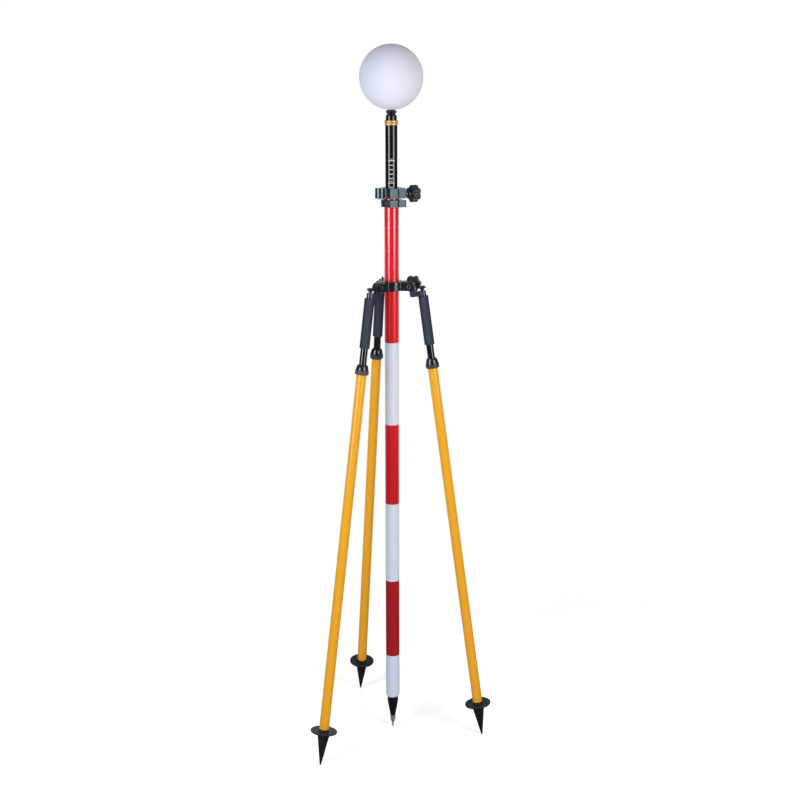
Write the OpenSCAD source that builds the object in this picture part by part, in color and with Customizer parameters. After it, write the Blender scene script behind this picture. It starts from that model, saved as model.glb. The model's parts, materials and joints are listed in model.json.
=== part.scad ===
// Target sphere on a telescoping survey pole, held upright by a thumb-release tripod.
// Millimetres, +Z up. The origin is the tip of the pole's point, and the feet stand on z = 0.

/* [Pole] */
// Outside diameter of the banded outer tube
pole_d = 34; // [31:0.5:36]
// Wall of the outer tube
pole_wall = 2; // [1.5:0.25:2.5]
// Length of the outer tube
pole_len = 1276; // [1250:1:1400]
// Height of one painted band
band_h = 200; // [100:10:250]
// Height of the tube's rolled-in lower end
roll_h = 4; // [2:0.5:8]

/* [Point] */
// Visible length of the steel point
point_len = 31; // [24:1:40]
// Greatest diameter of the steel point
point_d = 14.4; // [12.6:0.2:16]
// Length of the slim tip
tip_len = 11.5; // [8:0.5:13]
// Diameter of the slim tip where it leaves the point
tip_root_d = 4.8; // [4:0.2:6]
// Diameter of the flat at the very tip
tip_d = 3.2; // [1.5:0.1:3.8]
// Visible length of the tapered point holder
holder_len = 54; // [45:1:70]
// Diameter of the holder where it leaves the tube
holder_d = 26.8; // [22:0.2:28]
// Straight stretch of the holder under the tube
holder_straight = 13.5; // [5:0.5:20]
// Depth of the holder's spigot in the tube
holder_spigot = 40; // [25:1:60]

/* [Extension] */
// Outside diameter of the inner tube
inner_d = 28; // [26.5:0.25:28.5]
// Wall of the inner tube
inner_wall = 2; // [1.5:0.25:3]
// Length of the inner tube
inner_len = 1170; // [1000:5:1240]
// Inner tube that shows above the clamp collar
inner_shown = 140.5; // [60:0.5:200]
// Length of the guide bush in the outer tube's mouth
guide_len = 70; // [40:1:100]
// Diameter of the gold lock ring
ring_d = 31; // [30:0.25:33]
// Height of the lock ring
ring_h = 10.5; // [8:0.5:16]

/* [Sphere] */
// Diameter of the target sphere
sphere_d = 145; // [100:1:200]
// Wall of the hollow sphere
sphere_wall = 3; // [2:0.5:5]
// Diameter of the adapter under the sphere
adapter_d = 25.4; // [24.5:0.2:27]
// Diameter at the bottom of the adapter's vee groove
groove_d = 18.6; // [17:0.2:21]
// Height of the adapter between the lock ring and the sphere
adapter_h = 23.5; // [20:0.5:30]
// Diameter of the screw thread in the sphere
thread_d = 15.9; // [12:0.1:16]

/* [Collars] */
// Wall of the collars behind the tube
collar_wall = 7.5; // [6:0.5:10]
// Width of the block that carries both clamp ears
ear_w = 43; // [40:0.5:48]
// Distance of the ears' front face from the pole's axis
ear_reach = 32; // [29:0.5:34]
// Width of the clamp slot
slot_w = 3; // [2:0.5:5]
// Direction that the slots face, turned from straight ahead
collar_angle = 31; // [0:1:60]
// Height of the upper clamp collar
upper_h = 23; // [20:0.5:30]
// Height of the lower collar
lower_h = 16; // [12:0.5:20]
// Strip of tube that shows between the collars
collar_gap = 4; // [3.5:0.5:10]
// How far the clamp's stud sits below the middle of the upper collar
clamp_drop = 2.5; // [0:0.25:3.5]
// Distance of the clamp screws from the pole's axis
screw_reach = 22; // [21.5:0.25:24]
// Height of the collar above the outer tube's end
collar_lip = 1; // [0.5:0.5:3]

/* [Level] */
// Diameter of the level's clear vial
vial_d = 15.8; // [13:0.2:17]
// Wall of the cup that holds the vial
cup_wall = 1.1; // [0.8:0.1:1.4]
// Diameter of the lug that holds the level
lug_d = 23; // [22:0.5:26]
// Distance of the level from the pole's axis
lug_reach = 30.5; // [30:0.5:36]

/* [Knobs] */
// Diameter over the knobs' lobes
knob_d = 39.5; // [34:0.5:42]
// Thickness of the lobed part
knob_h = 18.5; // [14:0.5:22]
// Number of lobes
lobes = 6; // [5:1:8]
// Diameter of a knob's hub
hub_d = 16; // [13:0.5:20]
// Length of a knob's hub
hub_h = 8; // [4:0.5:10]
// Bare stud between an ear and a knob's hub
stud_shown = 8; // [2:0.5:9]
// Diameter of the clamp collar's stud
stud_d = 6; // [5:0.5:6.5]

/* [Tripod head] */
// Height of the head's split ring
head_h = 21; // [18:0.5:24]
// Diameter of the split ring
head_d = 52; // [48:0.5:56]
// Distance of the leg pivots from the pole's axis
pivot_reach = 43.6; // [42:0.2:50]
// Thickness of one clevis cheek
cheek_t = 7; // [5:0.5:9]
// Thickness of the leg hinges between the cheeks
hinge_t = 9.6; // [7:0.2:12]
// Diameter of the pivots
pivot_d = 8; // [6:0.5:9]
// Diameter of the pivot screw heads and of the ring nut
pivot_head_d = 10.4; // [10:0.2:13]

/* [Legs] */
// Direction of the right leg
right_leg_azimuth_angle = -11.5; // [-20:0.5:0]
// Direction of the rear leg
rear_leg_azimuth_angle = 112.5; // [100:0.5:125]
// Direction of the left leg
left_leg_azimuth_angle = 227.5; // [220:0.5:240]
// Lean of the right leg
right_leg_lean_angle = 7.9; // [4:0.1:14]
// Lean of the rear leg
rear_leg_lean_angle = 7.9; // [4:0.1:14]
// Lean of the left leg
left_leg_lean_angle = 9.4; // [4:0.1:14]
// Offset of a leg's axis from its pivot
leg_offset = 27.7; // [26:0.1:34]
// Radius of the hinge's eye
hinge_r = 11.5; // [9:0.5:12]
// Depth of the hinge's underside below the pivot
hinge_drop = 26.5; // [25:0.5:34]
// Height of the hinge's arm and barrel
barrel_h = 12; // [10:0.5:14]
// Diameter of the barrel
barrel_d = 16; // [14:0.5:20]
// Diameter of the upper leg tube
upper_leg_d = 17.5; // [16:0.25:18.5]
// Wall of the upper leg tube
upper_leg_wall = 1.5; // [1:0.25:2]
// Length of the upper leg tube
upper_leg_len = 805; // [700:5:830]
// Diameter of the foam grip
grip_d = 23.5; // [21:0.5:28]
// Length of the foam grip
grip_len = 116; // [80:1:120]
// Bare tube between the right leg's grip and its cap
leg_bare = 33; // [20:0.5:60]
// Diameter of the yellow lower leg tube
lower_leg_d = 24; // [23:0.25:26]
// Wall of the lower leg tube
lower_leg_wall = 1.5; // [1:0.25:2]
// Length of the lower leg tube
lower_leg_len = 877; // [800:1:880]
// Diameter of the bell-shaped cap
cap_d = 31.5; // [30:0.5:36]
// Height of the cap
cap_h = 23; // [20:0.5:30]
// Height of the cap's straight lower band
cap_band = 10.5; // [6:0.5:14]
// Thickness of the cap's crown above the tube
cap_crown = 6; // [4:0.5:9]

/* [Feet] */
// Diameter of the step plate
plate_d = 64; // [50:1:80]
// Thickness of the step plate
plate_t = 2.5; // [1.5:0.25:5]
// Diameter of the neck between plate and tube
neck_d = 23; // [20:0.5:25]
// Height of the neck
neck_h = 5; // [3:0.5:10]
// Length of a spike below the plate
spike_len = 84; // [60:1:110]
// Diameter of a spike under the plate
spike_d = 32; // [24:0.5:36]
// Radius of a spike's rounded tip
spike_tip_r = 2; // [1:0.25:3]

/* [Thumb release] */
// Diameter of the mushroom button
button_d = 20.5; // [16:0.5:24]
// Rise of the button's dome
button_dome = 4.5; // [3:0.25:6]
// Height of the button's top below the pivot
button_drop = 2; // [0:0.5:3]
// Diameter of the button's stem
stem_d = 9; // [8:0.25:9.5]
// Travel of the button
button_travel = 5; // [3:0.5:5.5]
// Diameter of the release rod
rod_d = 6; // [4:0.25:6.5]
// Length of the return spring
spring_len = 30; // [24:1:40]
// Turns of the return spring
spring_turns = 8; // [5:1:9]
// Wire diameter of the return spring
spring_wire = 1.2; // [0.8:0.1:1.4]
// Length of the brake collet below the tube
collet_len = 40; // [30:1:50]

/* [Clearances] */
// Running clearance round a pivot, a stud or a sliding tube
run_fit = 0.05; // [0.03:0.01:0.08]
// Clearance beside a hinge, a brake or a cup
side_fit = 0.2; // [0.1:0.05:0.3]

/* [Hidden] */
$fn = 64;
eps = 1;
fillet_bite = 0.05;
LEGS = ["right", "rear", "left"];
POLE_PIECES = ["pole_tube", "point_holder", "pole_point", "guide_bush", "clamp_collar", "lower_collar",
               "collar_screw", "level_cup", "level_vial", "level_screws", "clamp_knob", "clamp_stud",
               "inner_tube", "inner_bush", "lock_ring", "sphere_adapter", "target_sphere", "sphere_insert",
               "head_clamp", "stud_nut", "pivot_screws", "hinge_set_screw", "head_knob", "head_stud"];
LEG_PIECES = ["leg_hinge", "upper_leg", "grip", "thumb_button", "release_rod", "button_spring",
              "brake_collet", "slide_cap", "lower_leg", "foot_plate", "foot_spike"];

leg_azimuth = [right_leg_azimuth_angle, rear_leg_azimuth_angle, left_leg_azimuth_angle];
leg_lean = [right_leg_lean_angle, rear_leg_lean_angle, left_leg_lean_angle];

// Heights on the pole
pole_r = pole_d / 2;
pole_bore_r = pole_r - pole_wall;
pole_z = point_len + holder_len;
pole_top = pole_z + pole_len;
roll_top = pole_z + roll_h;
upper_top = pole_top + collar_lip;
upper_z = upper_top - upper_h;
lower_z = upper_z - collar_gap - lower_h;
clamp_z = upper_z + upper_h / 2 - clamp_drop;
mouth_slot_w = 2;
mouth_slot_rest = 2;
mouth_slot_depth = upper_h - collar_lip - mouth_slot_rest;
mouth_slots = 4;

// Steel point
holder_r = holder_d / 2;
point_neck = 0.9;
point_shoulder = 6.5;
point_thread_wall = 2;
point_thread_r = point_d / 2 - point_thread_wall;
tip_step = 1.1;

// Heights on the extension
inner_r = inner_d / 2;
inner_bore_r = inner_r - inner_wall;
inner_top = upper_top + inner_shown;
inner_z = inner_top - inner_len;
inner_bush_len = 30;
ring_top = inner_top + ring_h;
ring_groove_w = 1.6;
ring_groove_depth = 0.7;
ring_chamfer = 0.8;
adapter_top = ring_top + adapter_h;
adapter_spigot = 35;
thread_len = 18;
sphere_r = sphere_d / 2;
// The adapter's end face meets the ball on a small circle, which lies a little above the ball's lowest point
seat_lip = 1;
seat_r = thread_d / 2 + seat_lip;
sphere_z = adapter_top + sqrt(pow(sphere_r, 2) - pow(seat_r, 2));
insert_wall = 6;
insert_cap = 8;
insert_r = thread_d / 2 + insert_wall;
insert_h = thread_len + insert_cap;

// Collars, in a frame whose -Y side is the slot's
ear_corner_r = 2;
lug_web = 18;
lug_fillet_r = 3;
screw_d = 5;
screw_head_d = 8.5;
screw_head_h = 5;
hex_share = 0.55;
cup_r = vial_d / 2 + cup_wall;
cup_h = 13;
cup_floor = 2;
level_screw_d = 2.4;
level_screw_head_d = 4.4;
level_screw_head_h = 2;
level_screw_ring = 6;
cup_gap = 1;
lug_floor = upper_h - cup_h - cup_gap;

// Knobs
knob_z = stud_shown + hub_h;
knob_top_r = 3;
knob_foot_r = 2;
knob_rim = 0.6;
lobe_r = 6.5;
notch_depth = 3.4;
stud_depth = 11;

// Tripod head
pivot_r = pivot_d / 2;
clevis_gap = hinge_t + 2 * side_fit;
clevis_w = clevis_gap + 2 * cheek_t;
head_split_w = 3;
head_chamfer = 0.8;
head_fillet_r = 3;
clevis_root = 4;
clevis_throat = 1;
nut_bore_d = 5.4;
nut_h = 3;
nut_recess = 1;
nut_socket = 2;
set_screw_d = 3;
set_screw_head_d = 4.8;
set_screw_neck = 1.2;
set_screw_reach = 36.5;

// One leg in its own frame: the pivot is the origin, +X points away from the pole and the leg runs down along -Z
barrel_top = barrel_h - hinge_drop;
spigot_len = 18;
stem_bore_depth = 5.5;
upper_leg_r = upper_leg_d / 2;
upper_bore_r = upper_leg_r - upper_leg_wall;
upper_leg_z = -hinge_drop - upper_leg_len;
rim_h = 1;
button_rim_z = -button_drop - button_dome;
button_cone_h = 3;
stem_top = button_rim_z - rim_h - button_cone_h;
stem_lift = 1.5;
stem_end = -hinge_drop + stem_lift;
rod_grip = 5;
rod_top = stem_end + rod_grip;
stop_gap = 0.3;
flange_t = 3;
flange_top = -hinge_drop - spigot_len - stop_gap;
spring_top = flange_top - flange_t - stop_gap;
seat_z = spring_top - spring_len - stop_gap;
seat_t = 2.5;
seat_gap = 1.5;
seat_r_in = rod_d / 2 + seat_gap;
spring_r = (upper_bore_r + rod_d / 2) / 2;
lower_leg_r = lower_leg_d / 2;
lower_bore_r = lower_leg_r - lower_leg_wall;
collet_z = upper_leg_z - collet_len;
collet_spigot = 15;
brake_h = 20;
brake_wall = 0.4;
brake_r = upper_bore_r - brake_wall;
brake_clear = 0.5;
collet_slots = 4;
collet_slot_w = 1.5;
cone_end = 4;
stud_foot_d = 10;
stud_foot_len = 28;
plate_spigot = 35;
cap_lip = 3;
cap_step = 0.7;

// The right leg, laid end to end from its pivot to its foot, sets the height of the head
right_reach = hinge_drop + grip_len + leg_bare + cap_crown + lower_leg_len
              + neck_h + plate_t + spike_len - spike_tip_r;
head_z = spike_tip_r + right_reach * cos(leg_lean[0]) - leg_offset * sin(leg_lean[0]);

// Distance along a leg's axis from the level of its pivot to the centre of its spike's round tip
function foot_reach(k) = (head_z - spike_tip_r + leg_offset * sin(leg_lean[k])) / cos(leg_lean[k]);
function spike_top(k) = -foot_reach(k) + spike_len - spike_tip_r;
function plate_top(k) = spike_top(k) + plate_t;
function lower_leg_z(k) = plate_top(k) + neck_h;
function lower_leg_top(k) = lower_leg_z(k) + lower_leg_len;

// A straight tube between two heights
module pipe(r_out, r_in, z0, z1) {
    translate([0, 0, z0])
        difference() {
            cylinder(r = r_out, h = z1 - z0);
            translate([0, 0, -eps])
                cylinder(r = r_in, h = z1 - z0 + 2 * eps);
        }
}

// A hexagon socket, cut into a screw head from its top
module hex_socket(head_d, depth) {
    translate([0, 0, -depth])
        cylinder(d = head_d * hex_share, h = depth + eps, $fn = 6);
}

// The filling of a concave corner: a patch that ends in a round, which bites a hair past both sides
module fillet(patch, centre, r) {
    difference() {
        polygon(patch);
        translate(centre)
            circle(r = r + fillet_bite);
    }
}

// The frame of one leg
module leg_frame(k) {
    rotate([0, 0, leg_azimuth[k]])
        translate([pivot_reach, 0, head_z])
            rotate([0, -leg_lean[k], 0])
                children();
}

// The axis of one leg
module leg_axis(k) {
    leg_frame(k)
        translate([leg_offset, 0, 0])
            children();
}

// The clevis of one leg, level, with the pivot at the origin
module clevis_frame(k) {
    rotate([0, 0, leg_azimuth[k]])
        translate([pivot_reach, 0, head_z])
            children();
}

// The frame of the collars, whose -Y side is the slot's
module collar_frame(z) {
    translate([0, 0, z])
        rotate([0, 0, collar_angle])
            children();
}

// The axis of a clamp screw, with +Z along the screw towards its knob
module clamp_axis(z) {
    collar_frame(z)
        translate([0, -screw_reach, 0])
            rotate([0, 90, 0])
                children();
}

// Pole

module pole_tube() {
    bands = ceil(pole_top / band_h);
    difference() {
        union() {
            color("white")
                rotate_extrude()
                    polygon([[holder_r - pole_wall, pole_z], [holder_r, pole_z],
                             [pole_r, roll_top], [pole_bore_r, roll_top]]);
            for (i = [0:bands - 1])
                color(i % 2 == 0 && i < bands - 1 ? "white" : "crimson")
                    pipe(pole_r, pole_bore_r, max(roll_top, i * band_h), min(pole_top, (i + 1) * band_h));
        }
        for (i = [0:mouth_slots - 1])
            rotate([0, 0, collar_angle + (i + 0.5) * 360 / mouth_slots])
                translate([0, -mouth_slot_w / 2, pole_top - mouth_slot_depth])
                    cube([pole_d, mouth_slot_w, mouth_slot_depth + eps]);
    }
}

module point_holder() {
    color("black")
        difference() {
            rotate_extrude()
                polygon([[0, point_len], [point_d / 2 - point_neck, point_len],
                         [holder_r, pole_z - holder_straight], [holder_r, pole_z],
                         [holder_r - pole_wall, pole_z], [pole_bore_r, roll_top],
                         [pole_bore_r, pole_z + holder_spigot], [0, pole_z + holder_spigot]]);
            translate([0, 0, point_len - eps])
                cylinder(r = point_thread_r, h = holder_len / 2 + eps);
        }
}

module pole_point() {
    color("darkgray")
        rotate_extrude()
            polygon([[0, 0], [tip_d / 2, 0], [tip_root_d / 2, tip_len], [tip_root_d / 2 + tip_step, tip_len],
                     [point_d / 2, point_len - point_shoulder], [point_d / 2 - point_neck, point_len],
                     [point_thread_r, point_len], [point_thread_r, point_len + holder_len / 2],
                     [0, point_len + holder_len / 2]]);
}

module guide_bush() {
    color("whitesmoke")
        pipe(pole_bore_r, inner_r + run_fit, pole_top - guide_len, pole_top);
}

// Outline of a collar: a round back, a square block with two ears and, above, the level's lug
module collar_outline(with_lug) {
    difference() {
        union() {
            circle(r = pole_r + collar_wall);
            translate([-ear_w / 2, -ear_reach + ear_corner_r])
                square([ear_w, ear_reach - ear_corner_r]);
            translate([-ear_w / 2 + ear_corner_r, -ear_reach])
                square([ear_w - 2 * ear_corner_r, ear_corner_r]);
            for (side = [-1, 1])
                translate([side * (ear_w / 2 - ear_corner_r), -ear_reach + ear_corner_r])
                    circle(r = ear_corner_r);
            if (with_lug) {
                translate([-lug_reach, 0])
                    circle(d = lug_d);
                translate([-lug_reach, -lug_web / 2])
                    square([lug_reach, lug_web]);
                lug_fillet();
            }
        }
        circle(r = pole_r);
        translate([-slot_w / 2, -ear_reach - eps])
            square([slot_w, ear_reach]);
    }
}

// The corner in which the lug runs into the block's side
module lug_fillet() {
    f = lug_fillet_r;
    reach = lug_d / 2 + f;
    lug = [-lug_reach, 0];
    block_x = -ear_w / 2;
    centre = [block_x - f, -sqrt(pow(reach, 2) - pow(block_x - f + lug_reach, 2))];
    fillet([lug, lug + (centre - lug) * (1 - f / reach), centre, [block_x, centre.y], [block_x, 0]], centre, f);
}

module clamp_collar() {
    color("dimgray")
        difference() {
            collar_frame(upper_z)
                linear_extrude(upper_h)
                    collar_outline(true);
            clamp_axis(clamp_z)
                cylinder(d = stud_d + 2 * run_fit, h = 2 * ear_w, center = true);
            collar_frame(upper_z)
                translate([-lug_reach, 0, lug_floor])
                    cylinder(r = cup_r + side_fit, h = upper_h);
            collar_frame(upper_z)
                level_screw_places()
                    translate([0, 0, -eps])
                        cylinder(d = level_screw_d, h = upper_h);
        }
}

module lower_collar() {
    color("dimgray")
        difference() {
            collar_frame(lower_z)
                linear_extrude(lower_h)
                    collar_outline(false);
            clamp_axis(lower_z + lower_h / 2) {
                cylinder(d = screw_d, h = 2 * ear_w, center = true);
                translate([0, 0, ear_w / 2 - screw_head_h])
                    cylinder(d = screw_head_d, h = ear_w);
            }
        }
}

module collar_screw() {
    color("silver")
        clamp_axis(lower_z + lower_h / 2)
            difference() {
                union() {
                    translate([0, 0, -ear_w / 2])
                        cylinder(d = screw_d, h = ear_w - screw_head_h);
                    translate([0, 0, ear_w / 2 - screw_head_h])
                        cylinder(d = screw_head_d, h = screw_head_h);
                }
                translate([0, 0, ear_w / 2])
                    hex_socket(screw_head_d, screw_head_h / 2);
            }
}

// Level

module level_screw_places() {
    for (i = [0:2])
        translate([-lug_reach, 0, 0])
            rotate([0, 0, 90 + i * 120])
                translate([level_screw_ring, 0, 0])
                    children();
}

module level_cup() {
    color("darkgoldenrod")
        collar_frame(upper_top - cup_h)
            translate([-lug_reach, 0, 0])
                difference() {
                    cylinder(r = cup_r, h = cup_h);
                    translate([0, 0, cup_floor])
                        cylinder(d = vial_d, h = cup_h);
                }
}

module level_vial() {
    color("palegreen", 0.6)
        collar_frame(upper_top - cup_h + cup_floor)
            translate([-lug_reach, 0, 0])
                cylinder(d = vial_d, h = cup_h - cup_floor - 0.5);
}

module level_screws() {
    shank = upper_h - cup_h;
    color("silver")
        collar_frame(upper_z)
            level_screw_places()
                difference() {
                    union() {
                        cylinder(d = level_screw_d, h = shank);
                        translate([0, 0, -level_screw_head_h])
                            cylinder(d = level_screw_head_d, h = level_screw_head_h);
                    }
                    translate([0, 0, -level_screw_head_h])
                        rotate([180, 0, 0])
                            hex_socket(level_screw_head_d, level_screw_head_h / 2);
                }
}

// Knobs: +Z runs from the face of the ear out along the stud

module knob() {
    rim_r = knob_d / 2 + knob_rim;
    difference() {
        union() {
            translate([0, 0, stud_shown])
                cylinder(d = hub_d, h = hub_h + eps);
            translate([0, 0, knob_z])
                intersection() {
                    linear_extrude(knob_h)
                        knob_outline();
                    rotate_extrude() {
                        translate([0, knob_foot_r])
                            square([rim_r, knob_h - knob_foot_r - knob_top_r]);
                        square([rim_r - knob_foot_r, knob_h - knob_top_r]);
                        square([rim_r - knob_top_r, knob_h]);
                        translate([rim_r - knob_top_r, knob_h - knob_top_r])
                            circle(r = knob_top_r);
                        translate([rim_r - knob_foot_r, knob_foot_r])
                            circle(r = knob_foot_r);
                    }
                }
        }
        children();
    }
}

// Broad round lobes with shallow notches between them
module knob_outline() {
    circle(r = knob_d / 2 - notch_depth);
    for (i = [0:lobes - 1])
        rotate(i * 360 / lobes)
            translate([knob_d / 2 - lobe_r, 0])
                circle(r = lobe_r);
}

module clamp_knob() {
    color("black")
        clamp_axis(clamp_z)
            translate([0, 0, ear_w / 2])
                knob()
                    cylinder(d = stud_d, h = knob_z + stud_depth);
}

module clamp_stud() {
    color("silver")
        clamp_axis(clamp_z)
            translate([0, 0, -ear_w / 2])
                cylinder(d = stud_d, h = ear_w + knob_z + stud_depth);
}

// Extension and sphere

module inner_tube() {
    color("black")
        pipe(inner_r, inner_bore_r, inner_z, inner_top);
}

module inner_bush() {
    color("whitesmoke")
        pipe(pole_bore_r - run_fit, inner_r, inner_z, inner_z + inner_bush_len);
}

module lock_ring() {
    ring_r = ring_d / 2;
    mid = ring_h / 2;
    color("goldenrod")
        translate([0, 0, inner_top])
            rotate_extrude()
                polygon([[inner_bore_r, 0], [ring_r - ring_chamfer, 0], [ring_r, ring_chamfer],
                         [ring_r, mid - ring_groove_w / 2], [ring_r - ring_groove_depth, mid],
                         [ring_r, mid + ring_groove_w / 2], [ring_r, ring_h - ring_chamfer],
                         [ring_r - ring_chamfer, ring_h], [inner_bore_r, ring_h]]);
}

module sphere_adapter() {
    barrel = adapter_h * 0.44;
    groove_z = adapter_h * 0.58;
    flare_z = adapter_h * 0.76;
    flare_top = adapter_h * 0.83;
    color("black")
        translate([0, 0, ring_top])
            rotate_extrude()
                polygon([[0, -ring_h - adapter_spigot], [inner_bore_r, -ring_h - adapter_spigot],
                         [inner_bore_r, 0], [adapter_d / 2, 0], [adapter_d / 2, barrel],
                         [groove_d / 2, groove_z], [adapter_d / 2 - 0.3, flare_z], [adapter_d / 2, flare_top],
                         [seat_r, adapter_h], [thread_d / 2, adapter_h],
                         [thread_d / 2, adapter_h + thread_len], [0, adapter_h + thread_len]]);
}

module target_sphere() {
    color("white")
        difference() {
            translate([0, 0, sphere_z])
                sphere(r = sphere_r);
            translate([0, 0, sphere_z])
                sphere(r = sphere_r - sphere_wall);
            translate([0, 0, adapter_top - eps])
                cylinder(d = thread_d, h = sphere_r);
        }
}

module sphere_insert() {
    color("darkgray")
        difference() {
            intersection() {
                translate([0, 0, adapter_top])
                    cylinder(r = insert_r, h = insert_h);
                translate([0, 0, sphere_z])
                    sphere(r = sphere_r - sphere_wall);
            }
            translate([0, 0, adapter_top - eps])
                cylinder(d = thread_d, h = thread_len + eps);
        }
}

// Tripod head

// Side view of a clevis: a block from the ring to the pivot, with a round end
module clevis_outline(inner_x) {
    translate([inner_x, -head_h / 2])
        square([-inner_x, head_h]);
    circle(d = head_h);
}

// The corner between the ring and the outside of a cheek
module clevis_fillet(ring_r) {
    f = head_fillet_r;
    axis = [-pivot_reach, 0];
    half_w = clevis_w / 2;
    centre = axis + [sqrt(pow(ring_r + f, 2) - pow(half_w + f, 2)), half_w + f];
    root_x = pole_r + clevis_root - pivot_reach;
    fillet([[root_x, 0], axis + (centre - axis) * (1 - f / (ring_r + f)), centre, [centre.x, half_w],
            [centre.x, 0]], centre, f);
}

module head_clamp() {
    ring_r = head_d / 2;
    half_h = head_h / 2;
    color("dimgray")
        difference() {
            union() {
                translate([0, 0, head_z])
                    rotate_extrude()
                        polygon([[pole_r - eps, -half_h], [ring_r - head_chamfer, -half_h],
                                 [ring_r, head_chamfer - half_h], [ring_r, half_h - head_chamfer],
                                 [ring_r - head_chamfer, half_h], [pole_r - eps, half_h]]);
                for (k = [0:2])
                    clevis_frame(k)
                        rotate([90, 0, 0])
                            linear_extrude(clevis_w, center = true)
                                clevis_outline(pole_r + clevis_root - pivot_reach);
                for (k = [0:2], side = [0, 1])
                    clevis_frame(k)
                        mirror([0, side, 0])
                            linear_extrude(head_h - 2 * head_chamfer, center = true)
                                clevis_fillet(ring_r);
            }
            translate([0, 0, head_z - head_h])
                cylinder(r = pole_r + run_fit, h = 2 * head_h);
            for (k = [0:2])
                clevis_frame(k) {
                    translate([ring_r + clevis_throat - pivot_reach, -clevis_gap / 2, -head_h])
                        cube([head_d, clevis_gap, 2 * head_h]);
                    rotate([90, 0, 0])
                        cylinder(r = pivot_r + (k == 0 ? run_fit : 0), h = 2 * clevis_w, center = true);
                }
            clevis_frame(0)
                translate([-pivot_reach, -head_split_w / 2, -head_h])
                    cube([pivot_reach, head_split_w, 2 * head_h]);
            clevis_frame(1)
                set_screw_place()
                    translate([0, 0, -half_h])
                        cylinder(d = set_screw_d, h = head_h);
        }
}

// Top of the rear clevis cheek where the set screw goes in
module set_screw_place() {
    translate([set_screw_reach - pivot_reach, (clevis_gap + cheek_t) / 2, head_h / 2])
        children();
}

module hinge_set_screw() {
    color("black")
        clevis_frame(1)
            set_screw_place() {
                translate([0, 0, -head_h / 2])
                    cylinder(d = set_screw_d, h = head_h / 2 + set_screw_neck + 1);
                translate([0, 0, set_screw_neck + set_screw_head_d / 2])
                    sphere(d = set_screw_head_d);
            }
}

module pivot_screws() {
    color("silver")
        for (k = [1, 2])
            clevis_frame(k)
                rotate([90, 0, 0])
                    difference() {
                        union() {
                            translate([0, 0, -clevis_w / 2])
                                cylinder(d = pivot_d, h = clevis_w);
                            translate([0, 0, clevis_w / 2])
                                cylinder(d = pivot_head_d, h = nut_h);
                        }
                        translate([0, 0, clevis_w / 2 + nut_h])
                            hex_socket(pivot_head_d, nut_h - nut_recess);
                    }
}

module stud_nut() {
    color("dimgray")
        clevis_frame(0)
            rotate([90, 0, 0])
                translate([0, 0, clevis_w / 2])
                    difference() {
                        cylinder(d = pivot_head_d, h = nut_h);
                        translate([0, 0, -eps])
                            cylinder(d = nut_bore_d + 2 * run_fit, h = nut_h + 2 * eps);
                    }
}

module head_knob() {
    color("black")
        clevis_frame(0)
            rotate([-90, 0, 0])
                translate([0, 0, clevis_w / 2])
                    knob()
                        cylinder(d = pivot_d, h = knob_z + stud_depth);
}

module head_stud() {
    color("silver")
        clevis_frame(0)
            rotate([-90, 0, 0]) {
                translate([0, 0, -clevis_w / 2])
                    cylinder(d = pivot_d, h = clevis_w + knob_z + stud_depth);
                translate([0, 0, -clevis_w / 2 - nut_h + nut_recess])
                    difference() {
                        cylinder(d = nut_bore_d, h = nut_h);
                        rotate([180, 0, 0])
                            hex_socket(nut_bore_d, nut_socket);
                    }
            }
}

// Legs

// Side view of a hinge: an eye round the pivot, and an arm that drops and then runs out to the barrel
module hinge_outline() {
    arm_x = -2.5;
    corner_r = 4;
    throat_r = 6;
    circle(r = hinge_r);
    translate([arm_x, corner_r - hinge_drop])
        square([hinge_r - arm_x, hinge_drop - corner_r]);
    translate([arm_x + corner_r, -hinge_drop])
        square([leg_offset - arm_x - corner_r, barrel_h]);
    translate([arm_x + corner_r, corner_r - hinge_drop])
        circle(r = corner_r);
    difference() {
        translate([hinge_r, barrel_top])
            square(throat_r);
        translate([hinge_r + throat_r, barrel_top + throat_r])
            circle(r = throat_r);
    }
}

module leg_hinge(k) {
    stem_bore_r = stem_d / 2 + run_fit;
    mouth_r = barrel_d / 2 - 1;
    color("dimgray")
        leg_frame(k)
            difference() {
                union() {
                    rotate([90, 0, 0])
                        linear_extrude(hinge_t, center = true)
                            hinge_outline();
                    translate([leg_offset, 0, -hinge_drop])
                        cylinder(d = barrel_d, h = barrel_h);
                    translate([leg_offset, 0, -hinge_drop - spigot_len])
                        cylinder(r = upper_bore_r, h = spigot_len + eps);
                }
                rotate([90, 0, 0])
                    cylinder(r = pivot_r + run_fit, h = 2 * hinge_t, center = true);
                translate([leg_offset, 0, -hinge_drop - stem_bore_depth])
                    cylinder(r = stem_bore_r, h = stem_bore_depth + hinge_drop);
                translate([leg_offset, 0, -hinge_drop - spigot_len - eps])
                    cylinder(r = rod_d / 2 + run_fit, h = spigot_len + hinge_drop);
                translate([leg_offset, 0, barrel_top - button_travel / 2])
                    cylinder(r1 = stem_bore_r, r2 = mouth_r, h = button_travel / 2);
                translate([leg_offset, 0, barrel_top])
                    cylinder(r = barrel_d, h = hinge_drop);
            }
}

module upper_leg(k) {
    color("black")
        leg_axis(k) {
            pipe(upper_leg_r, upper_bore_r, upper_leg_z, -hinge_drop);
            pipe(upper_bore_r, seat_r_in, seat_z - seat_t, seat_z);
        }
}

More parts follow.
